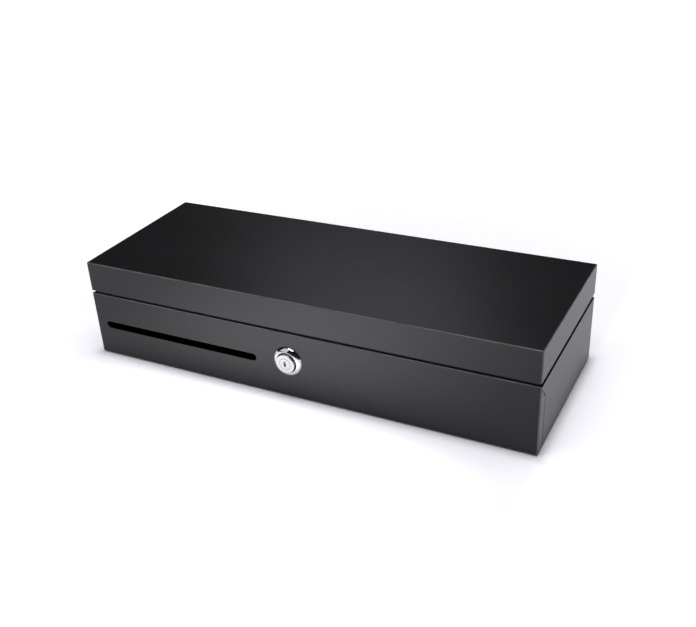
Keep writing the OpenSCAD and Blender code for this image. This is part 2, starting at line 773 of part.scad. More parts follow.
module rivets(z) {
    inner = yb - sheet - leaf_t;
    for (i = [0:rivet_n - 1]) translate([rivet_x(i), 0, 0]) {
        turned_y(0, inner - 0.8, z) polygon([
            [0, 0], [1.6, 0], [2.6, 0.6], [2.6, 0.8], [rivet_r, 0.8],
            [rivet_r, 0.8 + leaf_t + sheet], [2.6, 0.8 + leaf_t + sheet],
            [2.6, 1 + leaf_t + sheet], [1.6, 1.6 + leaf_t + sheet], [0, 1.6 + leaf_t + sheet]
        ]);
    }
}

module base_rivets() {
    color(inner_steel) rivets(hinge_z - leaf_h * 0.62);
}

module lid_rivets() {
    color(inner_steel) rivets(hinge_z + leaf_h * 0.62);
}

// A torsion spring round the hinge pin: one leg lies along the base's leaf and one along the lid's.
module hinge_spring(place) {
    r = pin_r + hinge_wire_r + 0.25;
    steps = 14;
    turn_n = spring_turns * steps + steps / 2;
    x0 = -hinge_w / 2 + place * knuckle_l + 1.2;
    x1 = x0 + knuckle_l - 2.4;
    leg_y = yb - sheet - leaf_t - hinge_wire_r - 0.1;
    coil = [for (i = [0:turn_n]) let (a = 270 + 360 * i / steps)
        [x0 + (x1 - x0) * i / turn_n, yb + r * cos(a), hinge_z + r * sin(a)]];
    low_leg = [[x0, leg_y, hinge_z - 11], [x0, leg_y, hinge_z - r - 1],
        [x0, leg_y + 0.5, hinge_z - r]];
    high_leg = [[x1, leg_y + 0.5, hinge_z + r], [x1, leg_y, hinge_z + r + 1],
        [x1, leg_y, hinge_z + 11]];
    color(chrome) swept(concat(low_leg, coil, high_leg), hinge_wire_r, 6, [1, 0, 0]);
}

// ---- Lid stays ----

module stay_arm() {
    end = chord_open + stay_tip;
    translate([0, stay_by, stay_bz]) rotate([stay_a, 0, 0]) difference() {
        union() {
            rod_x(arm_x, arm_x + arm_t, 0, 0, arm_r);
            rod_x(arm_x, arm_x + arm_t, end, 0, arm_r);
            block(arm_x, 0, -arm_r, arm_x + arm_t, end, arm_r);
        }
        rod_x(arm_x - 1, arm_x + arm_t + 1, 0, 0, rivet_r + fit);
        rod_x(arm_x - 1, arm_x + arm_t + 1, chord_shut - 0.2, 0, stay_slot_r);
        rod_x(arm_x - 1, arm_x + arm_t + 1, chord_open + 0.2, 0, stay_slot_r);
        block(arm_x - 1, chord_shut - 0.2, -stay_slot_r, arm_x + arm_t + 1, chord_open + 0.2,
            stay_slot_r);
    }
}

module stay_left() {
    color(zinc) mirror([1, 0, 0]) stay_arm();
}

module stay_right() {
    color(zinc) stay_arm();
}

module stay_pivots() {
    color(zinc) both_sides() {
        rod_x(stay_head_x, stay_head_x + stay_head_t, stay_by, stay_bz, 2.8);
        rod_x(stay_head_x, xr - sheet, stay_by, stay_bz, rivet_r);
        rod_x(arm_x + arm_t + 0.2, xr - sheet, stay_by, stay_bz, 3.2);
    }
}

module stay_brackets() {
    color(inner_steel) both_sides() difference() {
        block(xr - 2 * sheet, stay_py - 10, base_top + 0.4, xr - sheet, stay_py + 8, lid_z + 15);
        rod_x(xr - 2 * sheet - 1, xr - sheet + 1, stay_py, stay_pz, rivet_r + fit);
    }
}

module stay_pins() {
    color(zinc) both_sides() {
        rod_x(stay_head_x, stay_head_x + stay_head_t, stay_py, stay_pz, 2.6);
        rod_x(stay_head_x, xr - sheet, stay_py, stay_pz, rivet_r);
    }
}

// ---- Lid ----

module lid_shell() {
    color(steel) difference() {
        block(-xr, yf, lid_z, xr, yb, top_z);
        block(sheet - xr, yf + sheet, lid_z - 1, xr - sheet, yb - sheet, roof_z);
        both_sides() block(xr - sheet - 1, yf + sheet, lid_z - 1, xr + 1, yb + 1, lid_z + side_relief);
        // The back skirt ends above the knuckles.
        block(-xr - 1, yb - knuckle_gap, lid_z - 1, xr + 1, yb + 1, hinge_z + knuckle_gap);
        rivet_holes(hinge_z + leaf_h * 0.62);
    }
}

module lid_stiffener() {
    x = xr - 30;
    y = 20;
    h = till_gap - 1.3;
    t = 1;
    color(inner_steel) plate_x(-x, x) polygon([
        [-y, roof_z], [-y, roof_z - t], [4 - y, roof_z - t], [8 - y, roof_z - h],
        [y - 8, roof_z - h], [y - 4, roof_z - t], [y, roof_z - t], [y, roof_z],
        [y - 4.6, roof_z], [y - 8.6, roof_z - h + t], [8.6 - y, roof_z - h + t], [4.6 - y, roof_z]
    ]);
}

module strike() {
    x0 = strike_x;
    x1 = strike_x + strike_w;
    y0 = barrel_end - 3;
    y1 = strike_y + strike_t;
    color(zinc) difference() {
        union() {
            block(x0, strike_y, strike_z, x1, y1, roof_z);
            block(x0, y0, lip_z - strike_t, x0 + strike_t, y1, roof_z);
            block(lock_x + barrel_r + 0.5, cam_y - 0.3, lip_z - strike_t, x0 + strike_t,
                cam_y + cam_t + 1, lip_z);
            block(x0, y0, roof_z - strike_t, x1, y1 + 14, roof_z);
        }
        block(hook_x - hook_t / 2 - 2, strike_y - 1, window_z0, hook_x + hook_t / 2 + 2, y1 + 1,
            window_z1);
    }
}

module lid_pads() {
    gap = 0.3;
    color(rubber_black) for (x = [coin_x0 + 30, bill_x1 - 30]) for (y = [coin_y0 + 20, till_y1 - 24])
        block(x - 7, y, till_top + gap, x + 7, y + 8, roof_z);
}

// ---- Nodes ----

base_pan();
front_panel();
panel_screws();
rubber_feet();
tray_support();
coin_tray();
for (i = [1:cups_x * cups_y]) coin_cup(i);
bill_tray();
for (i = [1:bill_slots - 1]) bill_divider(i);
lock_bezel();
lock_body();
lock_nut();
lock_plug();
lock_cam();
cam_screw();
latch_bracket();
latch_pivot_pin();
latch_hook();
link_pin();
solenoid_frame();
coil_bobbin();
coil_winding();
plunger();
return_spring();
switch_body();
switch_button();
data_socket();
wire_loom();
hinge_leaf_base();
hinge_leaf_lid();
hinge_pin();
base_rivets();
lid_rivets();
hinge_spring(spring_places[0]);  // hinge_spring_left
hinge_spring(spring_places[1]);  // hinge_spring_right
stay_left();
stay_right();
stay_pivots();
stay_brackets();
stay_pins();
lid_shell();
lid_stiffener();
strike();
lid_pads();
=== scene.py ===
"""Looks of a counter-top cash drawer with a flip-up lid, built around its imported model.

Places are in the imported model's own frame: +Z up, the front faces -Y, and the origin is the
centre of the footprint. They are in metres, and the sub-assemblies' own sizes in millimetres.
"""
import logging
import math
from collections.abc import Callable, Sequence
from dataclasses import dataclass, field
from enum import Enum

import bpy
from mathutils import Matrix, Vector


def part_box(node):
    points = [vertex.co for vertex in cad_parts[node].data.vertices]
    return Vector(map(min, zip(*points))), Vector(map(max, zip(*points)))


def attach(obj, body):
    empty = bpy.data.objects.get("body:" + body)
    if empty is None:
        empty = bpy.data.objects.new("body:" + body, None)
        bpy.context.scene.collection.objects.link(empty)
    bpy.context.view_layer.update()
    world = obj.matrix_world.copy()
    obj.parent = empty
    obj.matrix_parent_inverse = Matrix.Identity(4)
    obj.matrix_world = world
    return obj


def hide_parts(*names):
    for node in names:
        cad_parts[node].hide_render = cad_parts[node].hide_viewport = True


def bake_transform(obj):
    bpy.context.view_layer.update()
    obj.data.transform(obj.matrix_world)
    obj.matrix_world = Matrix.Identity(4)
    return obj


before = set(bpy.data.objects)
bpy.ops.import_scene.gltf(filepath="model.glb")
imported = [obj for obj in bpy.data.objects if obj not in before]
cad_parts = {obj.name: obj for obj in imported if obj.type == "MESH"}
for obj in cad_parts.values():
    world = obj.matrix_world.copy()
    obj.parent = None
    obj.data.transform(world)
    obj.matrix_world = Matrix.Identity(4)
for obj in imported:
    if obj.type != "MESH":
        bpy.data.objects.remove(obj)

logging.basicConfig(level=logging.INFO, format="%(message)s")
LOG = logging.getLogger("cash_drawer")
MM = 0.001
# Radius of the broken edges of sheet steel, in millimetres.
SHEET_EDGE = 0.22
# Slack of tests on positions, in metres.
SLACK = 1e-5
# Distance over which a wave texture at scale 1 repeats, in metres.
WAVE_PERIOD = 2 * math.pi / 20
Point = Sequence[float]
Profile = Sequence[tuple[float, float]]
Colour = tuple[float, float, float]
COOL_WHITE: Colour = (0.95, 0.945, 1.0)
Socket = bpy.types.NodeSocket


class Axis(Enum):
    """Direction that a turned piece points in, as the turn that takes +Z there."""

    UP = (0.0, 0.0, 0.0)
    FRONT = (math.pi / 2, 0.0, 0.0)
    BACK = (-math.pi / 2, 0.0, 0.0)


def mm(*values: float) -> Vector:
    """A point given in millimetres, in metres.

    Args:
        values: its coordinates in millimetres.

    Returns:
        The point.
    """
    return Vector([v * MM for v in values])


# ---------------------------------------------------------------------------- the workbench


class Bench:
    """Modelling steps that every piece of the drawer shares."""

    @staticmethod
    def clear() -> None:
        """Leave edit mode and deselect everything."""
        active = bpy.context.view_layer.objects.active
        if active is not None and active.mode != "OBJECT":
            bpy.ops.object.mode_set(mode="OBJECT")
        bpy.ops.object.select_all(action="DESELECT")

    @staticmethod
    def hold(piece: bpy.types.Object) -> None:
        """Select one piece alone and make it the active one.

        Args:
            piece: the piece.
        """
        Bench.clear()
        piece.select_set(True)
        bpy.context.view_layer.objects.active = piece

    @staticmethod
    def settle(piece: bpy.types.Object, name: str) -> bpy.types.Object:
        """Put a piece's place into its mesh and name it.

        Args:
            piece: the object to settle.
            name: its name, which its mesh gets too.

        Returns:
            The same object, at the origin, unturned and unscaled.
        """
        Bench.hold(piece)
        bpy.ops.object.transform_apply(location=True, rotation=True, scale=True)
        piece.name = name
        piece.data.name = name
        return piece

    @staticmethod
    def box(name: str, low: Point, high: Point) -> bpy.types.Object:
        """A block between two corners.

        Args:
            name: the block's name.
            low: its lowest corner, in metres.
            high: its highest corner.

        Returns:
            The block.
        """
        Bench.clear()
        low, high = Vector(low), Vector(high)
        bpy.ops.mesh.primitive_cube_add(size=1.0, location=(low + high) / 2, scale=high - low)
        return Bench.settle(bpy.context.object, name)

    @staticmethod
    def turned(
        name: str,
        place: Point,
        profile: Profile,
        axis: Axis = Axis.UP,
        sides: int = 96,
    ) -> bpy.types.Object:
        """Turn a solid by extruding and resizing a disc, ring after ring.

        Args:
            name: the piece's name.
            place: where the profile's zero lies, in metres.
            profile: (radius, distance along the axis) pairs in millimetres.
            axis: the direction that the distances run in.
            sides: number of sides of the circle.

        Returns:
            The closed solid.
        """
        return Bench._turn(name, place, profile, axis, sides, "NGON")

    @staticmethod
    def ring(
        name: str,
        place: Point,
        profile: Profile,
        axis: Axis = Axis.UP,
        sides: int = 96,
    ) -> bpy.types.Object:
        """Turn a ring from a closed profile.

        Args:
            name: the piece's name.
            place: where the profile's zero lies, in metres.
            profile: (radius, distance along the axis) pairs in millimetres, once round.
            axis: the direction that the distances run in.
            sides: number of sides of the circle.

        Returns:
            The closed ring.
        """
        return Bench._turn(name, place, [*profile, profile[0]], axis, sides, "NOTHING")

    @staticmethod
    def _turn(
        name: str, place: Point, profile: Profile, axis: Axis, sides: int, fill: str
    ) -> bpy.types.Object:
        """Draw a circle out through the rest of a profile.

        Args:
            name: the piece's name.
            place: where the profile's zero lies, in metres.
            profile: (radius, distance along the axis) pairs in millimetres.
            axis: the direction that the distances run in.
            sides: number of sides of the circle.
            fill: how the first circle is filled. An open one ends where it began, as a ring.

        Returns:
            The closed piece.
        """
        Bench.clear()
        (radius, height), *rest = profile
        bpy.ops.mesh.primitive_circle_add(
            vertices=sides, radius=radius * MM, fill_type=fill, location=(0, 0, height * MM)
        )
        piece = bpy.context.object
        bpy.ops.object.transform_apply(location=True, rotation=False, scale=False)
        bpy.ops.object.mode_set(mode="EDIT")
        bpy.ops.mesh.select_all(action="SELECT")
        for wide, high in rest:
            rise = (0, 0, (high - height) * MM)
            bpy.ops.mesh.extrude_region_move(TRANSFORM_OT_translate={"value": rise})
            share = wide / radius
            if abs(share - 1) > 1e-9:
                centre = (0.0, 0.0, high * MM)
                bpy.ops.transform.resize(value=(share, share, 1.0), center_override=centre)
            radius, height = wide, high
        bpy.ops.mesh.select_all(action="SELECT")
        if fill == "NOTHING":
            bpy.ops.mesh.remove_doubles(threshold=1e-6)
        bpy.ops.mesh.normals_make_consistent(inside=False)
        bpy.ops.object.mode_set(mode="OBJECT")
        piece.rotation_euler = axis.value
        piece.location = Vector(place)
        return Bench.settle(piece, name)

    @staticmethod
    def prism(name: str, outline: Profile, x0: float, x1: float) -> bpy.types.Object:
        """Extrude an outline in the YZ plane from x0 to x1, all in millimetres.

        Args:
            name: the piece's name.
            outline: (y, z) corners in order, each in millimetres.
            x0: where the outline starts, in millimetres.
            x1: where it ends.

        Returns:
            The closed prism.
        """
        Bench.clear()
        bpy.ops.mesh.primitive_circle_add(vertices=len(outline), radius=0.01, fill_type="NGON")
        piece = bpy.context.object
        for corner, (y, z) in zip(piece.data.vertices, outline):
            corner.co = mm(x0, y, z)
        bpy.ops.object.mode_set(mode="EDIT")
        bpy.ops.mesh.select_all(action="SELECT")
        bpy.ops.mesh.extrude_region_move(TRANSFORM_OT_translate={"value": ((x1 - x0) * MM, 0, 0)})
        bpy.ops.mesh.select_all(action="SELECT")
        bpy.ops.mesh.normals_make_consistent(inside=False)
        bpy.ops.object.mode_set(mode="OBJECT")
        return Bench.settle(piece, name)

    @staticmethod
    def drop_faces(piece: bpy.types.Object, *directions: Point) -> None:
        """Delete the faces of a piece that look in the given directions.

        Args:
            piece: the piece.
            directions: unit vectors that the faces look along.
        """
        Bench.hold(piece)
        bpy.ops.object.mode_set(mode="EDIT")
        bpy.ops.mesh.select_mode(type="FACE")
        bpy.ops.mesh.select_all(action="DESELECT")
        bpy.ops.object.mode_set(mode="OBJECT")
        for face in piece.data.polygons:
            face.select = any(face.normal.dot(Vector(way)) > 0.99 for way in directions)
        bpy.ops.object.mode_set(mode="EDIT")
        bpy.ops.mesh.delete(type="FACE")
        bpy.ops.object.mode_set(mode="OBJECT")

    @staticmethod
    def round_edges(
        piece: bpy.types.Object,
        chosen: Callable[[Vector, Vector], bool],
        width: float,
        segments: int = 5,
    ) -> None:
        """Round some edges of a piece in edit mode.

        Args:
            piece: the piece.
            chosen: a test that takes an edge's two ends, in metres, and says whether it is rounded.
            width: radius in millimetres.
            segments: number of steps of the curve.
        """
        Bench.hold(piece)
        mesh = piece.data
        bpy.ops.object.mode_set(mode="EDIT")
        bpy.ops.mesh.select_mode(type="EDGE")
        bpy.ops.mesh.select_all(action="DESELECT")
        bpy.ops.object.mode_set(mode="OBJECT")
        for edge in mesh.edges:
            a, b = (mesh.vertices[i].co for i in edge.vertices)
            edge.select = bool(chosen(a, b))
        bpy.ops.object.mode_set(mode="EDIT")
        bpy.ops.mesh.bevel(offset=width * MM, segments=segments, profile=0.5, affect="EDGES")
        bpy.ops.object.mode_set(mode="OBJECT")

    @staticmethod
    def wall(piece: bpy.types.Object, thickness: float) -> None:
        """Give an open shell its sheet thickness, inwards.

        Args:
            piece: the open shell.
            thickness: the sheet's thickness in millimetres.
        """
        Bench.hold(piece)
        solid = piece.modifiers.new("sheet", "SOLIDIFY")
        solid.thickness = thickness * MM
        solid.offset = -1.0
        solid.use_even_offset = True
        bpy.ops.object.modifier_apply(modifier=solid.name)

    @staticmethod
    def _boolean(piece: bpy.types.Object, tool: bpy.types.Object, operation: str) -> None:
        """Apply one boolean step and throw its tool away.

        Args:
            piece: the piece that stays.
            tool: the other solid, which is used up.
            operation: UNION or DIFFERENCE.
        """
        Bench.hold(piece)
        step = piece.modifiers.new("step", "BOOLEAN")
        step.operation = operation
        step.solver = "EXACT"
        step.object = tool
        bpy.ops.object.modifier_apply(modifier=step.name)
        bpy.data.objects.remove(tool)

    @staticmethod
    def cut(piece: bpy.types.Object, *tools: bpy.types.Object) -> None:
        """Cut the tools' shapes out of a piece, and use the tools up.

        Args:
            piece: the piece that is cut.
            tools: the solids to take away.
        """
        for tool in tools:
            Bench._boolean(piece, tool, "DIFFERENCE")

    @staticmethod
    def weld(piece: bpy.types.Object, *others: bpy.types.Object) -> None:
        """Join other solids on to a piece as one, and use them up.

        Args:
            piece: the piece that grows.
            others: the solids to join on.
        """
        for other in others:
            Bench._boolean(piece, other, "UNION")

    @staticmethod
    def smooth(piece: bpy.types.Object, angle: float = 32.0) -> None:
        """Shade a piece smooth across its rounded edges and flat on its flats.

        Args:
            piece: the piece.
            angle: edges sharper than this many degrees stay sharp.
        """
        Bench.hold(piece)
        bpy.ops.object.shade_smooth_by_angle(angle=math.radians(angle))
        weight = piece.modifiers.new("weight", "WEIGHTED_NORMAL")
        weight.mode = "FACE_AREA"
        weight.weight = 50
        weight.keep_sharp = True
        bpy.ops.object.modifier_apply(modifier=weight.name)

    @staticmethod
    def ease(piece: bpy.types.Object, width: float, segments: int = 2, angle: float = 32.0) -> None:
        """Take the sharpness off every hard edge of a piece.

        Args:
            piece: the piece.
            width: width of the bevel in millimetres.
            segments: number of steps.
            angle: only edges sharper than this many degrees are eased.
        """
        Bench.hold(piece)
        edge = piece.modifiers.new("eased", "BEVEL")
        edge.width = width * MM
        edge.segments = segments
        edge.limit_method = "ANGLE"
        edge.angle_limit = math.radians(angle)
        edge.use_clamp_overlap = True
        bpy.ops.object.modifier_apply(modifier=edge.name)
        Bench.smooth(piece)

    @staticmethod
    def machined(node: str, name: str, width: float, segments: int = 2) -> bpy.types.Object:
        """A copy of a model node with its loose triangles joined and its edges eased.

        Args:
            node: the node to copy.
            name: the new piece's name.
            width: width of the eased edges in millimetres, or 0 for none.
            segments: number of steps of an eased edge.

        Returns:
            The new piece, which rides on nothing yet.
        """
        Bench.clear()
        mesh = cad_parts[node].data.copy()
        piece = bpy.data.objects.new(name, mesh)
        bpy.context.scene.collection.objects.link(piece)
        mesh.materials.clear()
        Bench.hold(piece)
        bpy.ops.object.mode_set(mode="EDIT")
        bpy.ops.mesh.select_all(action="SELECT")
        bpy.ops.mesh.remove_doubles(threshold=2e-6)
        bpy.ops.mesh.dissolve_limited(angle_limit=math.radians(1.0))
        bpy.ops.object.mode_set(mode="OBJECT")
        if mesh.has_custom_normals:
            bpy.ops.mesh.customdata_custom_splitnormals_clear()
        if width > 0:
            Bench.ease(piece, width, segments)
        else:
            Bench.smooth(piece)
        mesh.name = name
        return piece

    @staticmethod
    def mark_bends(piece: bpy.types.Object) -> None:
        """Note on each face how far it leans from the flats, for the finish's edge wear and painted
        highlight on the bends.

        Args:
            piece: the finished piece, which gets a value from 0 to 1 on each face.
        """
        full = 0.12
        lean = piece.data.attributes.new("lean", "FLOAT", "FACE")
        turned = [1.0 - max(abs(part) for part in face.normal) for face in piece.data.polygons]
        lean.data.foreach_set("value", [min(1.0, value / full) for value in turned])

    @staticmethod
    def twin(piece: bpy.types.Object, name: str, shift: Point) -> bpy.types.Object:
        """A copy of a piece with its own mesh.

        Args:
            piece: the piece to copy.
            name: the copy's name.
            shift: how far the copy is moved, in metres.

        Returns:
            The copy.
        """
        Bench.hold(piece)
        bpy.ops.object.duplicate(linked=False)
        copy = bpy.context.object
        copy.location = copy.location + Vector(shift)
        return Bench.settle(copy, name)


# ------------------------------------------------------------------------------- the finishes


@dataclass
class Graph:
    """A material's node graph, with the few steps that the finishes share."""

    name: str
    material: bpy.types.Material = field(init=False)

    def __post_init__(self) -> None:
        """Make an empty material with its shader and its coordinates."""
        self.material = bpy.data.materials.new(self.name)
        self.material.use_nodes = True
        self.nodes = self.material.node_tree.nodes
        self.links = self.material.node_tree.links
        self.shader = self.nodes["Principled BSDF"]
        self.place = self.nodes.new("ShaderNodeTexCoord").outputs["Object"]

    def noise(
        self, scale: float, detail: float = 2.0, rough: float = 0.5, stretch: Point = (1, 1, 1)
    ) -> Socket:
        """A noise over the object's own coordinates.

        Args:
            scale: features per metre.
            detail: number of octaves.
            rough: how strong the finer octaves are.
            stretch: scale of the pattern along each axis.

        Returns:
            The noise's value socket.
        """
        turn = self.nodes.new("ShaderNodeMapping")
        turn.inputs["Scale"].default_value = stretch
        self.links.new(self.place, turn.inputs["Vector"])
        noise = self.nodes.new("ShaderNodeTexNoise")
        noise.inputs["Scale"].default_value = scale
        noise.inputs["Detail"].default_value = detail
        noise.inputs["Roughness"].default_value = rough
        self.links.new(turn.outputs["Vector"], noise.inputs["Vector"])
        return noise.outputs["Fac"]

    def feed(self, socket: Socket, value: Socket | Point | float) -> None:
        """Link a socket to a value's socket, or set it.

        Args:
            socket: the socket to feed.
            value: another socket, a number, or a colour without its alpha.
        """
        if isinstance(value, Socket):
            self.links.new(value, socket)
        elif isinstance(value, tuple):
            socket.default_value = (*value, 1.0)
        else:
            socket.default_value = value

    def spread(
        self, value: Socket, low: float, high: float, start: float = 0.3, end: float = 0.7
    ) -> Socket:
        """Map a value smoothly to a range.

        Args:
            value: the value's socket.
            low: the result at start and below.
            high: the result at end and beyond.
            start: where the value starts to count.
            end: where it stops to.

        Returns:
            The result's socket.
        """
        ramp = self.nodes.new("ShaderNodeMapRange")
        ramp.interpolation_type = "SMOOTHSTEP"
        for name, number in zip(("From Min", "From Max", "To Min", "To Max"), (start, end, low, high)):
            ramp.inputs[name].default_value = number
        self.links.new(value, ramp.inputs["Value"])
        return ramp.outputs["Result"]

    def blend(self, value: Socket, first: Colour | Socket, second: Colour) -> Socket:
        """A colour between two.

        Args:
            value: 0 for the first colour, and 1 for the second.
            first: the colour, or the socket of a colour, that the second is laid over.
            second: the second colour.

        Returns:
            The colour's socket.
        """
        mix = self.nodes.new("ShaderNodeMix")
        mix.data_type = "RGBA"
        self.links.new(value, mix.inputs["Factor"])
        self.feed(mix.inputs[6], first)
        self.feed(mix.inputs[7], second)
        return mix.outputs[2]

    def math(self, operation: str, *values: Socket | float) -> Socket:
        """One step of arithmetic.

        Args:
            operation: the step's name, such as ADD.
            values: what it works on, in order.

        Returns:
            The result's socket.
        """
        step = self.nodes.new("ShaderNodeMath")
        step.operation = operation
        for socket, value in zip(step.inputs, values):
            self.feed(socket, value)
        return step.outputs[0]

    def bump(
        self, height: Socket, depth: float, strength: float = 1.0, under: Socket | None = None
    ) -> Socket:
        """A bump of a given depth in millimetres.

        Args:
            height: the height's socket, from 0 to 1.
            depth: height of the relief in millimetres.
            strength: how much of the bump is used.
            under: an earlier bump's normal that this one lies on.

        Returns:
            The normal's socket.
        """
        bump = self.nodes.new("ShaderNodeBump")
        bump.inputs["Strength"].default_value = strength
        bump.inputs["Distance"].default_value = depth * MM
        self.links.new(height, bump.inputs["Height"])
        if under is not None:
            self.links.new(under, bump.inputs["Normal"])
        return bump.outputs["Normal"]

    def bends(self, least: float = 0.55) -> Socket:
        """How much a place is worn and lit by a painted highlight: up to 1 on the bends that mark_bends
        noted, and 0 on flats.

        Args:
            least: share of the wear and painted highlight that is left where the patches are weakest.

        Returns:
            The value's socket.
        """
        lean = self.nodes.new("ShaderNodeAttribute")
        lean.attribute_name = "lean"
        patches = self.spread(self.noise(65.0, 3.0), least, 1.0)
        return self.math("MULTIPLY", lean.outputs["Fac"], patches)

    def set(self, socket: str, value: Socket | Colour | float) -> None:
        """Set one of the shader's sockets, or feed it.

        Args:
            socket: the socket's name.
            value: another socket, a number, or a colour without its alpha.
        """
        self.feed(self.shader.inputs[socket], value)


@dataclass(frozen=True)
class Finish:
    """A finish: it makes its own material, once, and paints it on pieces."""

    slot: str
    colour: Colour
    rough: float = 0.5

    def compose(self, graph: Graph) -> None:
        """Lay the nodes of the finish. Each kind of finish has its own.

        Args:
            graph: the material's empty graph.
        """
        raise NotImplementedError

    def material(self) -> bpy.types.Material:
        """The finish's material, made the first time it is asked for.

        Returns:
            The material.
        """
        found = bpy.data.materials.get("finish_" + self.slot)
        if found is not None:
            return found
        graph = Graph("finish_" + self.slot)
        self.compose(graph)
        return graph.material

    def dress(self, *pieces: bpy.types.Object) -> None:
        """Paint new pieces with the finish's material.

        Args:
            pieces: the new pieces.
        """
        for piece in pieces:
            piece.data.materials.clear()
            piece.data.materials.append(self.material())

    def dress_nodes(self, *names: str) -> None:
        """Paint model nodes that are shown as they are.

        Args:
            names: the nodes' names.
        """
        for name in names:
            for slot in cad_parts[name].material_slots:
                slot.material = self.material()
            LOG.info("dressed %s in %s", name, self.slot)


@dataclass(frozen=True)
class PowderCoat(Finish):
    """Baked powder coat: a satin skin with a fine, slightly wavy texture."""

    grain: float = 0.006
    waviness: float = 0.03
    # The bends' colour: partly paint worn thin, partly a painted highlight along the bent edges.
    rubbed_and_highlit: Colour = (0.11, 0.11, 0.117)
    gloss: float = 0.315

    def compose(self, graph: Graph) -> None:
        """Lay the grain, the waviness, and a lighter colour on the bends that is partly worn paint and
        partly a painted highlight.

        Args:
            graph: the material's empty graph.
        """
        fine = graph.noise(1500.0, 2.0, 0.6)
        orange = graph.noise(420.0, 2.0, 0.5)
        slow = graph.noise(9.0, 2.0, 0.5)
        light = tuple(min(1.0, c * 1.22) for c in self.colour)
        dark = tuple(c * 0.84 for c in self.colour)
        # Lighter bends: partly wear, partly a painted highlight.
        wear_and_highlight = graph.bends()
        coat = graph.blend(graph.spread(slow, 0.0, 1.0), dark, light)
        graph.set("Base Color", graph.blend(wear_and_highlight, coat, self.rubbed_and_highlit))
        fleck = graph.spread(fine, self.rough - 0.05, self.rough + 0.05)
        graph.set("Roughness", graph.math("MULTIPLY_ADD", wear_and_highlight, -0.1, fleck))
        wave = graph.bump(graph.noise(14.0, 1.0, 0.4), self.waviness, 0.25)
        peel = graph.bump(orange, self.grain, 0.5, wave)
        graph.set("Normal", graph.bump(fine, self.grain * 0.5, 0.5, peel))
        graph.set("Specular IOR Level", self.gloss)


@dataclass(frozen=True)
class Plate(Finish):
    """Plated or bare metal, drawn or rolled in one direction."""

    grain: tuple[float, float, float] = (1.0, 1.0, 1.0)
    scale: float = 900.0
    cloud: float = 0.12
    depth: float = 0.002

    def compose(self, graph: Graph) -> None:
        """Lay fine drawn lines, soft clouds of the plating and a little dulling.

        Args:
            graph: the material's empty graph.
        """
        lines = graph.noise(self.scale, 3.0, 0.6, self.grain)
        clouds = graph.noise(55.0, 3.0, 0.6)
        dark = tuple(c * (1.0 - self.cloud) for c in self.colour)
        graph.set("Base Color", graph.blend(graph.spread(clouds, 0.0, 1.0), dark, self.colour))
        graph.set("Metallic", 1.0)
        graph.set("Roughness", graph.spread(lines, self.rough - 0.06, self.rough + 0.08))
        graph.set("Normal", graph.bump(lines, self.depth, 0.35))


@dataclass(frozen=True)
class TurnedFace(Finish):
    """Metal finished on a lathe, with fine rings round an axis along Y. Its pitch is in millimetres."""

    centre: tuple[float, float, float] = (0.0, 0.0, 0.0)
    pitch: float = 1.0053

    def compose(self, graph: Graph) -> None:
        """Lay the lathe's rings round the centre, with some dull patches.

        Args:
            graph: the material's empty graph.
        """
        turn = graph.nodes.new("ShaderNodeMapping")
        turn.inputs["Location"].default_value = [-c for c in self.centre]
        graph.links.new(graph.place, turn.inputs["Vector"])
        rings = graph.nodes.new("ShaderNodeTexWave")
        rings.wave_type = "RINGS"
        rings.rings_direction = "Y"
        rings.inputs["Scale"].default_value = WAVE_PERIOD / (self.pitch * MM)
        rings.inputs["Distortion"].default_value = 0.6
        rings.inputs["Detail"].default_value = 2.0
        graph.links.new(turn.outputs["Vector"], rings.inputs["Vector"])
        patches = graph.noise(260.0, 3.0, 0.55)
        dark = tuple(c * 0.86 for c in self.colour)
        graph.set("Base Color", graph.blend(graph.spread(patches, 0.0, 1.0), dark, self.colour))
        graph.set("Metallic", 1.0)
        graph.set("Roughness", graph.spread(patches, self.rough - 0.05, self.rough + 0.07))
        graph.set("Normal", graph.bump(rings.outputs["Fac"], 0.004, 0.45))


@dataclass(frozen=True)
class Chrome(Finish):
    """Polished chrome with faint polishing marks and a trace of haze."""

    def compose(self, graph: Graph) -> None:
        """Lay the haze and a very shallow unevenness.

        Args:
            graph: the material's empty graph.
        """
        haze = graph.noise(320.0, 3.0, 0.6)
        graph.set("Base Color", self.colour)
        graph.set("Metallic", 1.0)
        graph.set("Roughness", graph.spread(haze, self.rough, self.rough + 0.05))
        graph.set("Normal", graph.bump(graph.noise(180.0, 1.0, 0.4), 0.006, 0.2))


@dataclass(frozen=True)
class Moulded(Finish):
    """Moulded plastic with a fine spark-eroded grain."""

    grain: float = 0.012
    scale: float = 1600.0
    gloss: float = 0.5

    def compose(self, graph: Graph) -> None:
        """Lay the grain and the faint flow marks.

        Args:
            graph: the material's empty graph.
        """
        grain = graph.noise(self.scale, 2.0, 0.6)
        flow = graph.noise(30.0, 2.0, 0.5, (1.0, 0.35, 1.0))
        light = tuple(min(1.0, c * 1.15) for c in self.colour)
        dark = tuple(c * 0.88 for c in self.colour)
        graph.set("Base Color", graph.blend(graph.spread(flow, 0.0, 1.0), dark, light))
        graph.set("Roughness", graph.spread(flow, self.rough - 0.03, self.rough + 0.04))
        graph.set("Normal", graph.bump(grain, self.grain, 0.5))
        graph.set("Specular IOR Level", self.gloss)


@dataclass(frozen=True)
class Rubber(Finish):
    """Matt rubber with a dusty bloom."""

    def compose(self, graph: Graph) -> None:
        """Lay the bloom and a soft pitted surface.

        Args:
            graph: the material's empty graph.
        """
        bloom = graph.noise(140.0, 4.0, 0.65)
        pale = tuple(c * 1.6 + 0.004 for c in self.colour)
        graph.set("Base Color", graph.blend(graph.spread(bloom, 0.0, 1.0), self.colour, pale))
        graph.set("Roughness", graph.spread(bloom, self.rough - 0.06, self.rough + 0.06))
        graph.set("Normal", graph.bump(graph.noise(1300.0, 2.0, 0.6), 0.02, 0.5))
        graph.set("Specular IOR Level", 0.3)


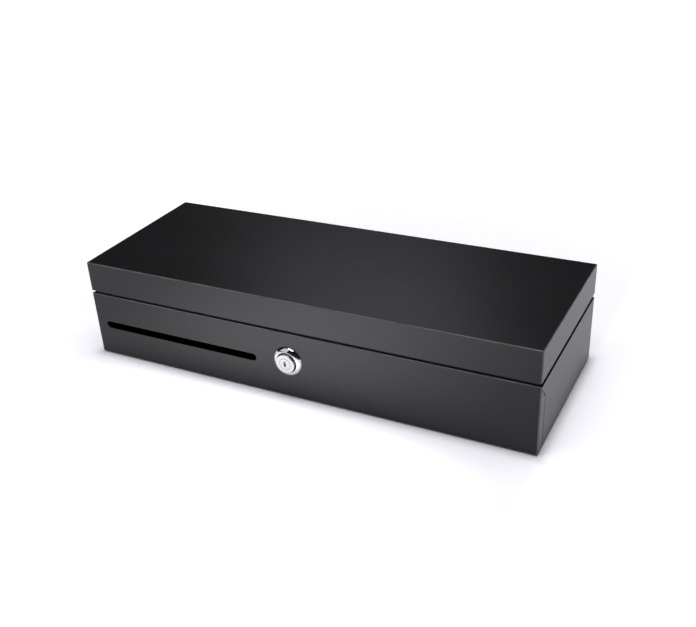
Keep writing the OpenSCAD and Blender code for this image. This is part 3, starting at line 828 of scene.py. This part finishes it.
@dataclass(frozen=True)
class Winding(Finish):
    """Enamelled copper wire wound in ribs along Y. Its pitch is in millimetres."""

    pitch: float = 3.4558

    def compose(self, graph: Graph) -> None:
        """Lay the ribs and give the wire uneven shades.

        Args:
            graph: the material's empty graph.
        """
        wave = graph.nodes.new("ShaderNodeTexWave")
        wave.wave_type = "BANDS"
        wave.bands_direction = "Y"
        wave.inputs["Scale"].default_value = WAVE_PERIOD / (self.pitch * MM)
        wave.inputs["Distortion"].default_value = 0.3
        graph.links.new(graph.place, wave.inputs["Vector"])
        shade = graph.noise(700.0, 2.0, 0.5, (0.02, 1.0, 0.02))
        dark = tuple(c * 0.6 for c in self.colour)
        graph.set("Base Color", graph.blend(graph.spread(shade, 0.0, 1.0), dark, self.colour))
        graph.set("Metallic", 0.85)
        graph.set("Roughness", graph.spread(shade, self.rough - 0.05, self.rough + 0.08))
        graph.set("Normal", graph.bump(wave.outputs["Fac"], 0.12, 0.9))
        graph.set("Coat Weight", 0.5)
        graph.set("Coat Roughness", 0.2)


@dataclass(frozen=True)
class Palette:
    """All the finishes of the drawer."""

    powder: Finish = PowderCoat("powder_steel", (0.0062, 0.0063, 0.0068), 0.345)
    inner: Finish = PowderCoat("inner_steel", (0.013, 0.0132, 0.0142), 0.46, 0.01, 0.02)
    zinc: Finish = Plate("zinc_steel", (0.6, 0.61, 0.63), 0.34, (1.0, 0.12, 1.0))
    rubber: Finish = Rubber("rubber", (0.012, 0.012, 0.012), 0.82)
    till: Finish = Moulded("till_plastic", (0.024, 0.0245, 0.026), 0.5)
    cup: Finish = Moulded("cup_plastic", (0.032, 0.0325, 0.0345), 0.44, 0.008, 1900.0)
    chrome: Finish = Chrome("chrome", (0.46, 0.463, 0.468), 0.07)
    nickel: Finish = TurnedFace("lock_nickel", (0.34, 0.34, 0.338), 0.27, (-0.0055, 0.0, 0.039))
    bobbin: Finish = Moulded("bobbin_plastic", (0.04, 0.13, 0.075), 0.45, 0.006, 1200.0)
    copper: Finish = Winding("copper_wire", (0.62, 0.27, 0.13), 0.3)
    spring: Finish = Plate("spring_steel", (0.45, 0.45, 0.46), 0.3, (1.0, 1.0, 1.0), 1400.0)
    switch: Finish = Moulded("switch_plastic", (0.014, 0.014, 0.0155), 0.4, 0.005, 1500.0)
    button: Finish = Moulded("button_plastic", (0.4, 0.035, 0.03), 0.35, 0.003, 1500.0)
    cable: Finish = Moulded("cable_jacket", (0.02, 0.02, 0.021), 0.42, 0.002, 900.0)
    rivet: Finish = PowderCoat("black_rivet", (0.0095, 0.0097, 0.0107), 0.38, 0.008, 0.01)


# --------------------------------------------------------------------------- sub-assemblies


@dataclass
class SubAssembly:
    """A group of pieces of the drawer, with the sizes that the groups share, in millimetres."""

    palette: Palette
    half_w: float = 230.0
    front: float = -85.0
    back: float = 85.0
    sheet: float = 1.2
    side_relief: float = 0.8
    hinge_z: float = 70.0
    hinge_gap: float = 2.45
    lock_x: float = -5.5
    lock_z: float = 39.0

    def place(
        self, piece: bpy.types.Object, body: str, finish: Finish, *nodes: str
    ) -> bpy.types.Object:
        """Dress a finished piece, hang it on its body and let it stand for its nodes.

        Args:
            piece: the finished piece.
            body: the body that it moves with.
            finish: its finish.
            nodes: the model nodes that it stands for.

        Returns:
            The piece.
        """
        finish.dress(piece)
        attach(piece, body)
        if nodes:
            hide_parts(*nodes)
        LOG.info("built %s: %d faces, on %s", piece.name, len(piece.data.polygons), body)
        return piece

    def ease_nodes(self, body: str, finish: Finish, width: float, *nodes: str) -> None:
        """Build model nodes anew with eased edges, one piece for each.

        Args:
            body: the body that they move with.
            finish: their finish.
            width: width of the eased edges in millimetres.
            nodes: the nodes.
        """
        for node in nodes:
            self.place(Bench.machined(node, node + "_eased", width), body, finish, node)


@dataclass
class Cabinet(SubAssembly):
    """The folded steel base: pan, front panel, feet and screws."""

    bottom: float = 2.0
    top: float = 68.5
    bend: float = 1.3
    rim_set: float = 2.5
    shade_gap: float = 2.2
    rim_high: float = 78.0
    flange_back: float = 80.75
    tab_back: float = -72.5
    tab_z: float = 53.0
    tab_end_z: float = 65.7125
    joint: float = 0.9
    slot_x0: float = -218.0
    slot_x1: float = -40.0
    slot_z: float = 34.9
    slot_h: float = 7.6
    lock_r: float = 9.6
    foot_x: float = 208.0
    foot_y: float = 63.0
    mount_x: float = 200.0
    mount_y: float = 50.0
    mount_r: float = 2.5

    def build(self) -> None:
        """Build and dress the whole cabinet."""
        self.build_pan()
        self.build_front()
        self.build_feet()
        self.ease_nodes("base", self.palette.inner, 0.35, "tray_support")
        self.palette.zinc.dress_nodes("panel_screws")

    def _is_upright(self, a: Vector, b: Vector) -> bool:
        """Whether an edge runs straight up.

        Args:
            a: one end, in metres.
            b: the other end.

        Returns:
            True if it does.
        """
        return abs(a.x - b.x) < 1e-6 and abs(a.y - b.y) < 1e-6 and abs(a.z - b.z) > 1e-3

    def build_pan(self) -> None:
        """Fold the pan: floor, side walls, back wall and the rims behind the seam."""
        w, s = self.half_w, self.sheet
        side_top = self.top - self.side_relief
        pan = Bench.box("pan", mm(-w, self.front, self.bottom), mm(w, self.back, side_top))
        Bench.drop_faces(pan, (0, 0, 1), (0, -1, 0))
        low = self.bottom * MM + SLACK
        Bench.round_edges(
            pan,
            lambda a, b: (self._is_upright(a, b) and a.y > 0)
            or (a.z < low and b.z < low and (a.y > 0 or b.y > 0)),
            self.bend,
        )
        Bench.wall(pan, s)
        self._trim_pan(pan)
        for side in (-1, 1):
            flange = sorted((side * (w - s * 0.5), side * (w - self.rim_set - s)))
            rim = sorted((side * (w - self.rim_set), side * (w - self.rim_set - s)))
            start = self.front + self.rim_set + s + self.joint
            Bench.weld(
                pan,
                Bench.box(
                    "flange",
                    mm(flange[0], start, self.top - s - self.shade_gap),
                    mm(flange[1], self.flange_back, self.top - self.shade_gap),
                ),
                Bench.box(
                    "rim",
                    mm(rim[0], start, self.top - s - self.shade_gap),
                    mm(rim[1], self.rim_back(), self.rim_high),
                ),
            )
        for x in (-self.mount_x, self.mount_x):
            for y in (-self.mount_y, self.mount_y):
                profile = ((self.mount_r, -3.0), (self.mount_r, 3.0))
                Bench.cut(pan, Bench.turned("hole", mm(x, y, self.bottom), profile, sides=32))
        Bench.cut(pan, self._window())
        Bench.ease(pan, SHEET_EDGE)
        Bench.mark_bends(pan)
        self.place(pan, "base", self.palette.powder, "base_pan")

    def rim_back(self) -> float:
        """Where the side rims end at the back.

        Returns:
            The place along Y in the model, in millimetres.
        """
        near_top = (self.rim_high - 0.5) * MM
        high = [v.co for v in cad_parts["base_pan"].data.vertices if v.co.z > near_top]
        return max(co.y for co in high) / MM

    def _window(self) -> bpy.types.Object:
        """The cutter for the data socket's window in the back wall.

        Returns:
            A block a little larger than the socket.
        """
        rear = (self.back - 1.0) * MM
        ends = [v.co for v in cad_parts["data_socket"].data.vertices if v.co.y > rear]
        x0, x1 = min(c.x for c in ends), max(c.x for c in ends)
        z0, z1 = min(c.z for c in ends), max(c.z for c in ends)
        gap = 0.2 * MM
        y0, y1 = (self.back - self.sheet - 1.0) * MM, (self.back + 1.0) * MM
        return Bench.box("window", (x0 - gap, y0, z0 - gap), (x1 + gap, y1, z1 + gap))

    def _trim_pan(self, pan: bpy.types.Object) -> None:
        """Cut the pan's front end to the panel's tabs, and its back for the hinge.

        Args:
            pan: the folded pan.
        """
        w, s = self.half_w, self.sheet
        tab = self.tab_back + self.joint
        front, lip = self.front, self.front + s
        outline = [
            (front - 2, self.bottom - 2), (tab, self.bottom - 2), (tab, self.tab_z + self.joint),
            (lip, self.tab_end_z + self.joint), (lip, self.top + 2), (front - 2, self.top + 2),
        ]
        Bench.cut(
            pan,
            Bench.prism("end", outline, w - s - 0.001, w + 2),
            Bench.prism("end", outline, -w - 2, -w + s + 0.001),
            Bench.box("lip", mm(-w - 2, front - 2, self.bottom - 2), mm(w + 2, lip, self.top + 2)),
            Bench.box(
                "hinge",
                mm(-w - 2, self.back - self.hinge_gap, self.hinge_z - self.hinge_gap),
                mm(w + 2, self.back + 2, self.top + 2),
            ),
            Bench.box(
                "wall",
                mm(-w + s, self.back - s - 1, self.hinge_z - self.hinge_gap),
                mm(w - s, self.back + 2, self.top + 2),
            ),
        )

    def build_front(self) -> None:
        """Fold the front panel: face, side tabs, top flange, rim and bottom flange."""
        w, s, front = self.half_w, self.sheet, self.front
        panel = Bench.box("front", mm(-w, front, self.bottom), mm(w, self.tab_back, self.top))
        Bench.drop_faces(panel, (0, 1, 0), (0, 0, -1))
        face, high = front * MM + SLACK, self.top * MM - SLACK
        Bench.round_edges(
            panel,
            lambda a, b: a.y < face and b.y < face and (self._is_upright(a, b) or min(a.z, b.z) > high),
            self.bend,
        )
        Bench.wall(panel, s)
        inner = front + self.rim_set + s
        fall = (self.tab_end_z - self.tab_z) / (self.tab_back - front - s)
        over = [
            (front + s, self.tab_end_z), (self.tab_back + 1, self.tab_z - fall),
            (self.tab_back + 1, self.top + 1), (front + s, self.top + 1),
        ]
        Bench.cut(
            panel,
            Bench.prism("slant", over, w - s - 0.001, w + 2),
            Bench.prism("slant", over, -w - 2, -w + s + 0.001),
            Bench.box("flat", mm(-w - 2, inner, self.top - s - 1), mm(w + 2, 0, self.top + 1)),
        )
        rim_x = w - self.rim_set
        Bench.weld(
            panel,
            Bench.box(
                "rim",
                mm(-rim_x, front + self.rim_set, self.top - s),
                mm(rim_x, inner, self.rim_high),
            ),
            self._foot_flange(),
        )
        Bench.cut(panel, *self._slot_tools(), self._lock_hole())
        Bench.ease(panel, SHEET_EDGE)
        Bench.mark_bends(panel)
        self.place(panel, "base", self.palette.powder, "front_panel")

    def _foot_flange(self) -> bpy.types.Object:
        """The flange at the panel's bottom edge, which screws to the pan's floor.

        Returns:
            The flange, as deep as the model's.
        """
        w, s = self.half_w, self.sheet
        level, reach = (self.bottom + 2 * s + 0.1) * MM, (w - 10) * MM
        flat = [
            v.co.y
            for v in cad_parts["front_panel"].data.vertices
            if v.co.z < level and abs(v.co.x) < reach
        ]
        return Bench.box(
            "foot",
            mm(-w + 2 * s, self.front + s * 0.5, self.bottom + s),
            ((w - 2 * s) * MM, max(flat), (self.bottom + 2 * s) * MM),
        )

    def _slot_tools(self) -> list[bpy.types.Object]:
        """The cutters of the slot and its round ends.

        Returns:
            The two ends and the middle.
        """
        r = self.slot_h / 2
        y0, y1 = self.front - 1, self.front + self.sheet + 1
        ends = [
            Bench.turned("end", mm(x, y0, self.slot_z), ((r, 0.0), (r, y1 - y0)), Axis.BACK, 48)
            for x in (self.slot_x0 + r, self.slot_x1 - r)
        ]
        middle = Bench.box(
            "slot",
            mm(self.slot_x0 + r, y0, self.slot_z - r),
            mm(self.slot_x1 - r, y1, self.slot_z + r),
        )
        return [*ends, middle]

    def _lock_hole(self) -> bpy.types.Object:
        """The cutter of the lock's hole.

        Returns:
            A cylinder through the panel.
        """
        r, place = self.lock_r, mm(self.lock_x, self.front - 1, self.lock_z)
        return Bench.turned("hole", place, ((r, 0.0), (r, 4.0)), Axis.BACK, 64)

    def build_feet(self) -> None:
        """Turn one rubber foot with its dimpled sole and copy it to the four corners."""
        profile = (
            (3.0, 0.5), (3.4, 0.12), (3.9, 0.0), (7.1, 0.0), (7.55, 0.15), (7.85, 0.45),
            (8.0, 0.9), (8.0, 2.0),
        )
        x, y = self.foot_x, self.foot_y
        foot = Bench.turned("foot_1", mm(-x, -y, 0), profile, sides=48)
        Bench.smooth(foot)
        others = [
            Bench.twin(foot, "foot_2", mm(2 * x, 0, 0)),
            Bench.twin(foot, "foot_3", mm(0, 2 * y, 0)),
            Bench.twin(foot, "foot_4", mm(2 * x, 2 * y, 0)),
        ]
        for piece in (foot, *others):
            self.place(piece, "base", self.palette.rubber, "rubber_feet")


@dataclass
class Lid(SubAssembly):
    """The folded steel lid with its stiffener, pads and strike."""

    bottom: float = 71.5
    top: float = 102.0
    bend: float = 1.35

    def build(self) -> None:
        """Build and dress the lid."""
        w, s = self.half_w, self.sheet
        shell = Bench.box("lid", mm(-w, self.front, self.bottom), mm(w, self.back, self.top))
        Bench.drop_faces(shell, (0, 0, -1))
        high = self.top * MM - SLACK
        Bench.round_edges(shell, lambda a, b: a.z > high or b.z > high, self.bend)
        Bench.wall(shell, s)
        Bench.cut(
            shell,
            Bench.box(
                "hinge",
                mm(-w - 2, self.back - self.hinge_gap, self.bottom - 2),
                mm(w + 2, self.back + 2, self.hinge_z + self.hinge_gap),
            ),
            *self._relief_tools(),
        )
        Bench.ease(shell, SHEET_EDGE)
        Bench.mark_bends(shell)
        self.place(shell, "lid", self.palette.powder, "lid_shell")
        self.ease_nodes("lid", self.palette.inner, 0.2, "lid_stiffener")
        self.ease_nodes("lid", self.palette.zinc, 0.2, "strike")
        self.ease_nodes("lid", self.palette.rubber, 0.5, "lid_pads")

    def _relief_tools(self) -> list[bpy.types.Object]:
        """Cutters that set the lower edges of the side skirts back from the seam.

        Returns:
            One cutter for each side.
        """
        w, s = self.half_w, self.sheet
        y0, y1 = self.front + self.bend, self.back + 2
        low, high = self.bottom - 2, self.bottom + self.side_relief
        return [
            Bench.box("right", mm(w - s - 1, y0, low), mm(w + 2, y1, high)),
            Bench.box("left", mm(-w - 2, y0, low), mm(-w + s + 1, y1, high)),
        ]


@dataclass
class Lock(SubAssembly):
    """The cam lock: chrome bezel, turned body, plug with its keyway, nut and cam."""

    face_out: float = 6.0
    face_r: float = 9.75
    plug_r: float = 5.6
    bezel_r: float = 15.0
    bezel_h: float = 3.6
    barrel_r: float = 9.5
    barrel_l: float = 22.0

    def build(self) -> None:
        """Build and dress the lock."""
        self.build_bezel()
        self.build_body()
        self.build_plug()
        self.ease_nodes("base", self.palette.zinc, 0.3, "lock_nut")
        self.ease_nodes("lock_plug", self.palette.zinc, 0.2, "lock_cam", "cam_screw")

    def build_bezel(self) -> None:
        """Turn the domed chrome ring."""
        r0, r1, h = self.face_r + 0.15, self.bezel_r, self.bezel_h
        profile = (
            (r0, h - 2.2), (r0 + 0.12, h - 1.1), (r0 + 0.42, h - 0.3), (r0 + 0.68, h - 0.05),
            (r0 + 0.92, h), (r0 + 1.25, h - 0.1), (r1 - 2.9, h - 0.46), (r1 - 1.9, h - 1.0),
            (r1 - 1.05, h - 1.66), (r1 - 0.48, h - 2.4), (r1 - 0.13, h - 3.1), (r1, h - 3.4),
            (r1, 0.0), (r0, 0.0),
        )
        bezel = Bench.ring("bezel", mm(self.lock_x, self.front, self.lock_z), profile, Axis.FRONT, 128)
        Bench.smooth(bezel, 50.0)
        self.place(bezel, "base", self.palette.chrome, "lock_bezel")

    def build_body(self) -> None:
        """Turn the lock's body with its bore, its face and its threaded barrel."""
        bore, face, out = self.plug_r + 0.05, self.face_r, self.face_out
        thread = []
        depth = -1.8
        while depth > -self.barrel_l + 1.0:
            thread += [(self.barrel_r, depth), (self.barrel_r - 0.35, depth - 0.5)]
            depth -= 1.0
        profile = [
            (bore, -self.barrel_l), (bore, out - 0.4), (bore + 0.12, out - 0.12), (bore + 0.4, out),
            (face - 0.8, out), (face - 0.35, out - 0.12), (face - 0.1, out - 0.4), (face, out - 0.8),
            (face, 0.05), (self.barrel_r, 0.0), *thread, (self.barrel_r - 0.3, -self.barrel_l),
        ]
        mouth = mm(self.lock_x, self.front, self.lock_z)
        body = Bench.ring("lock_barrel", mouth, profile, Axis.FRONT, 96)
        Bench.smooth(body, 38.0)
        self.place(body, "base", self.palette.nickel, "lock_body")

    def build_plug(self) -> None:
        """Turn the plug, and cut its keyway and the dish at its mouth."""
        r, out, x, z = self.plug_r, self.face_out, self.lock_x, self.lock_z
        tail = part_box("lock_plug")[1].y / MM
        step = -(self.barrel_l + 0.2)
        end = -(tail - self.front)
        profile = (
            (r - 0.3, out), (r - 0.08, out - 0.1), (r, out - 0.35), (r, step + 0.4),
            (r - 0.3, step), (3.0, step), (3.0, end),
        )
        plug = Bench.turned("plug", mm(x, self.front, z), profile[::-1], Axis.FRONT, 96)
        face = self.front - out
        deep = face + 12
        keyway = Bench.box("keyway", mm(x - 0.7, face - 1, z - 3), mm(x + 0.7, deep, z + 3))
        ward = Bench.box("ward", mm(x - 0.2, face + 0.4, z - 1.6), mm(x + 0.9, deep, z - 0.7))
        mouth = ((1.2, 0.0), (1.5, 0.25), (1.9, 1.6))
        dish = Bench.turned("dish", mm(x, face + 0.6, z), mouth, Axis.FRONT, 48)
        Bench.cut(plug, keyway, ward, dish)
        Bench.ease(plug, 0.12)
        self.place(plug, "lock_plug", self.palette.nickel, "lock_plug")


@dataclass
class Tills(SubAssembly):
    """The coin till with its lift-out cups and the note till with its dividers."""

    cups: int = 8
    dividers: int = 4

    def build(self) -> None:
        """Build and dress both tills."""
        self.ease_nodes("base", self.palette.till, 0.6, "coin_tray", "bill_tray")
        for number in range(1, self.cups + 1):
            self.ease_nodes("base", self.palette.cup, 0.45, f"coin_cup_{number}")
        for number in range(1, self.dividers + 1):
            self.ease_nodes("base", self.palette.till, 0.4, f"bill_divider_{number}")


@dataclass
class Hinge(SubAssembly):
    """The long hinge at the back with its rivets and its two torsion springs."""

    rivet_head: float = 2.6
    rivet_rise: float = 0.8

    def build(self) -> None:
        """Build and dress the hinge."""
        self.ease_nodes("base", self.palette.zinc, 0.12, "hinge_leaf_base")
        self.ease_nodes("lid", self.palette.zinc, 0.12, "hinge_leaf_lid")
        self.palette.spring.dress_nodes("hinge_pin")
        self.ease_nodes("base", self.palette.rivet, 0.25, "base_rivets")
        self.ease_nodes("lid", self.palette.rivet, 0.25, "lid_rivets")
        for node in ("hinge_spring_left", "hinge_spring_right"):
            self.wind_spring(node)

    def wind_spring(self, node: str) -> None:
        """Build a torsion spring from a smoothed copy of its model node, on no body.

        Args:
            node: the spring's node.
        """
        coil = Bench.machined(node, node + "_wire", 0.0)
        coil.parent = None
        self.palette.spring.dress(coil)
        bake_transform(coil)
        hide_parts(node)
        LOG.info("built %s: it twists between the base and the lid", coil.name)


@dataclass
class Stays(SubAssembly):
    """The two swinging arms that stop the lid, with their studs and brackets."""

    def build(self) -> None:
        """Build and dress the stays."""
        self.ease_nodes("stay_left", self.palette.zinc, 0.25, "stay_left")
        self.ease_nodes("stay_right", self.palette.zinc, 0.25, "stay_right")
        self.ease_nodes("base", self.palette.zinc, 0.25, "stay_pivots")
        self.ease_nodes("lid", self.palette.inner, 0.2, "stay_brackets")
        self.ease_nodes("lid", self.palette.zinc, 0.2, "stay_pins")


@dataclass
class Latch(SubAssembly):
    """The solenoid latch: bracket, hook, coil, plunger, return spring and switch."""

    def build(self) -> None:
        """Build and dress the latch."""
        zinc = self.palette.zinc
        self.ease_nodes("base", zinc, 0.2, "latch_bracket", "solenoid_frame")
        self.ease_nodes("base", zinc, 0.2, "latch_pivot_pin")
        self.ease_nodes("latch_hook", zinc, 0.25, "latch_hook")
        self.ease_nodes("base", self.palette.bobbin, 0.2, "coil_bobbin")
        self.ease_nodes("base", self.palette.copper, 0.2, "coil_winding")
        self.ease_nodes("plunger", zinc, 0.25, "plunger")
        zinc.dress_nodes("link_pin")
        self.ease_nodes("base", self.palette.switch, 0.3, "switch_body")
        self.ease_nodes("switch_button", self.palette.button, 0.2, "switch_button")
        self.wind_return_spring()

    def wind_return_spring(self) -> None:
        """Build the return spring, which stretches between the frame and the plunger."""
        coil = Bench.machined("return_spring", "return_spring_wire", 0.0)
        coil.parent = None
        self.palette.spring.dress(coil)
        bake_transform(coil)
        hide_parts("return_spring")
        LOG.info("built %s: it stretches with the plunger", coil.name)


@dataclass
class Wiring(SubAssembly):
    """The data socket in the back wall and the wire loom to the coil and switch."""

    def build(self) -> None:
        """Build and dress the wiring."""
        self.ease_nodes("base", self.palette.switch, 0.25, "data_socket")
        loom = Bench.machined("wire_loom", "wire_loom_jacket", 0.0)
        self.place(loom, "base", self.palette.cable, "wire_loom")


# ------------------------------------------------------------------------------- the studio


@dataclass
class SoftBox:
    """One soft light of the studio. Places and sizes are in metres, and its beam in degrees."""

    name: str
    place: tuple[float, float, float]
    aim: tuple[float, float, float]
    wide: float
    high: float
    power: float
    beam: float = 180.0
    tint: Colour = COOL_WHITE

    def hang(self) -> None:
        """Hang the light and aim it."""
        light = bpy.data.lights.new(self.name, "AREA")
        light.shape = "RECTANGLE"
        light.size = self.wide
        light.size_y = self.high
        light.energy = self.power
        light.spread = math.radians(self.beam)
        light.color = self.tint
        holder = bpy.data.objects.new(self.name, light)
        holder.location = self.place
        aim = Vector(self.aim) - Vector(self.place)
        holder.rotation_euler = aim.to_track_quat("-Z", "Y").to_euler()
        holder.visible_camera = False
        bpy.context.scene.collection.objects.link(holder)
        LOG.info("hung %s", self.name)


@dataclass
class Studio:
    """The pale floor, which glows with painted light and fades to a painted contact shadow round the
    drawer, the soft lights and the camera.
    """

    azimuth: float = 29.661
    elevation: float = 29.634
    roll: float = -3.856
    eye: tuple[float, float, float] = (0.3914, -0.7130, 0.4834)
    lens: float = 48.685
    shift: float = 0.035
    tint: Colour = COOL_WHITE
    floor_half: float = 7.0
    floor_drop: float = 0.00005
    floor_tone: float = 0.86
    glow_near: float = 0.32
    glow_far: float = 0.95
    # Painted pool of light on the floor in front, for the drawer's front to reflect.
    pool: tuple[float, float, float] = (-0.05, -0.25, 0.0)
    pool_reach: float = 0.29
    pool_glow: float = 2.7
    glow: float = 0.37
    footprint: tuple[float, float] = (0.23, 0.085)
    far_glow: float = 1.25
    pool_start: float = 0.055
    side_glow: float = 0.08
    # Ramps over which the floor's glow fades to a painted contact shadow at the footprint and along the
    # right side.
    contact_shadow_fade: tuple[float, float] = (-0.003, 0.012)
    side_shadow_fade: tuple[float, float] = (-0.001, 0.008)
    sky: float = 0.02
    horizon: float = 0.6
    horizon_band: tuple[float, float] = (0.03, 0.13)

    def build(self) -> None:
        """Lay the floor, hang the lights and set the camera."""
        self.lay_floor()
        self.fill_sky()
        for light in self.lights():
            light.hang()
        self.set_camera()
        bpy.context.scene.view_settings.view_transform = "Standard"

    def lights(self) -> list[SoftBox]:
        """The soft lights, the overhead one first.

        Returns:
            The lights, not hung yet.
        """
        return [
            SoftBox("overhead", (0.2, -0.1, 2.4), (0.05, -0.05, 0.0), 2.4, 1.5, 47.0),
            SoftBox("front_card", (-1.05, -1.4, 1.2), (0.0, -0.09, 0.04), 1.3, 2.0, 10.0),
            SoftBox("lid_glow", (-0.6, 1.25, 1.12), (0.02, 0.0, 0.1), 0.6, 0.4, 0.36, 90.0),
            SoftBox("right_glow", (2.2, 0.4, 0.9), (0.3, 0.0, 0.0), 1.4, 1.2, 0.3),
        ]

    def lay_floor(self) -> None:
        """Lay a pale floor that glows as painted light: where it is far, as a painted pool of light in
        front, and round the drawer, where it fades to a painted contact shadow.
        """
        Bench.clear()
        bpy.ops.mesh.primitive_plane_add(size=2 * self.floor_half, location=(0, 0, -self.floor_drop))
        floor = Bench.settle(bpy.context.object, "floor")
        graph = Graph("floor_painted_light")
        tone, less = self.floor_tone, self.floor_tone * 0.985
        graph.set(
            "Base Color", graph.blend(graph.noise(0.8, 2.0), (less, less, less), (tone, tone, tone))
        )
        graph.set("Roughness", 0.9)
        graph.set("Specular IOR Level", 0.1)
        graph.set("Emission Color", self.tint)
        graph.set("Emission Strength", self.floor_glow(graph))
        floor.data.materials.append(graph.material)

    def floor_glow(self, graph: Graph) -> Socket:
        """How strongly each place on the floor glows, as painted light: a painted pool of light in
        front and a painted contact shadow round the drawer's footprint.

        Args:
            graph: the floor's material.

        Returns:
            The strength's socket.
        """
        across, beyond = self.beyond_footprint(graph)
        far = graph.spread(
            self.distance(graph, (0.0, 0.0, 0.0)), 0.0, self.far_glow, self.glow_near, self.glow_far
        )
        # Painted pool of light in front, faded out near the footprint so the painted contact shadow
        # stays.
        pool = graph.spread(self.distance(graph, self.pool), self.pool_glow, 0.0, 0.0, self.pool_reach)
        pool = graph.math("MULTIPLY", pool, graph.spread(beyond, 0.0, 1.0, 0.0, self.pool_start))
        # Painted contact shadow: the glow falls to nothing at the footprint and along the right side.
        near = graph.spread(beyond, 0.0, self.glow, *self.contact_shadow_fade)
        side = graph.spread(across, 0.0, self.side_glow, *self.side_shadow_fade)
        total = graph.math("ADD", far, pool)
        return graph.math("ADD", graph.math("ADD", total, near), side)

    def distance(self, graph: Graph, point: Point) -> Socket:
        """How far a place on the floor is from a point.

        Args:
            graph: the floor's material.
            point: the point, in metres.

        Returns:
            The distance's socket, in metres.
        """
        gap = graph.nodes.new("ShaderNodeVectorMath")
        gap.operation = "DISTANCE"
        graph.links.new(graph.place, gap.inputs[0])
        gap.inputs[1].default_value = point
        return gap.outputs["Value"]

    def beyond_footprint(self, graph: Graph) -> tuple[Socket, Socket]:
        """How far a place on the floor lies outside the drawer's footprint.

        Args:
            graph: the floor's material.

        Returns:
            The distance beyond the right end, and beyond the nearest side, in metres.
        """
        split = graph.nodes.new("ShaderNodeSeparateXYZ")
        graph.links.new(graph.place, split.inputs["Vector"])
        half_x, half_y = self.footprint
        wide = graph.math("SUBTRACT", graph.math("ABSOLUTE", split.outputs["X"]), half_x)
        deep = graph.math("SUBTRACT", graph.math("ABSOLUTE", split.outputs["Y"]), half_y)
        right = graph.math("SUBTRACT", split.outputs["X"], half_x)
        return right, graph.math("MAXIMUM", wide, deep)

    def fill_sky(self) -> None:
        """Fill the room with a dim light that is pale only near the horizon."""
        world = bpy.data.worlds.new("room")
        world.use_nodes = True
        nodes, links = world.node_tree.nodes, world.node_tree.links
        way = nodes.new("ShaderNodeTexCoord")
        split = nodes.new("ShaderNodeSeparateXYZ")
        links.new(way.outputs["Generated"], split.inputs["Vector"])
        fade = nodes.new("ShaderNodeMapRange")
        fade.interpolation_type = "SMOOTHSTEP"
        fade.inputs["From Min"].default_value = self.horizon_band[0]
        fade.inputs["From Max"].default_value = self.horizon_band[1]
        fade.inputs["To Min"].default_value = self.horizon
        fade.inputs["To Max"].default_value = self.sky
        links.new(split.outputs["Z"], fade.inputs["Value"])
        links.new(fade.outputs["Result"], nodes["Background"].inputs["Strength"])
        nodes["Background"].inputs["Color"].default_value = (*self.tint, 1.0)
        bpy.context.scene.world = world

    def set_camera(self) -> None:
        """Set the camera at its place, turned by its three angles."""
        az, el, roll = (math.radians(a) for a in (self.azimuth, self.elevation, self.roll))
        ahead = Vector((-math.sin(az) * math.cos(el), math.cos(az) * math.cos(el), -math.sin(el)))
        right = Vector((math.cos(az), math.sin(az), 0.0))
        up = right.cross(ahead)
        across = math.cos(roll) * right + math.sin(roll) * up
        above = -math.sin(roll) * right + math.cos(roll) * up
        data = bpy.data.cameras.new("camera")
        data.lens = self.lens
        data.sensor_width = 36.0
        data.sensor_fit = "HORIZONTAL"
        data.shift_x = self.shift
        data.shift_y = self.shift
        data.clip_start = 0.01
        data.clip_end = 60.0
        camera = bpy.data.objects.new("camera", data)
        turn = Matrix((across, above, -ahead)).transposed().to_4x4()
        camera.matrix_world = Matrix.Translation(Vector(self.eye)) @ turn
        bpy.context.scene.collection.objects.link(camera)
        bpy.context.scene.camera = camera


def main() -> None:
    """Build the drawer's looks piece by piece, then the studio."""
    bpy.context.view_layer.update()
    palette = Palette()
    assemblies: list[SubAssembly] = [
        Cabinet(palette),
        Lid(palette),
        Lock(palette),
        Tills(palette),
        Hinge(palette),
        Stays(palette),
        Latch(palette),
        Wiring(palette),
    ]
    for assembly in assemblies:
        LOG.info("sub-assembly: %s", type(assembly).__name__)
        assembly.build()
    Studio().build()


if __name__ == "__main__":
    main()
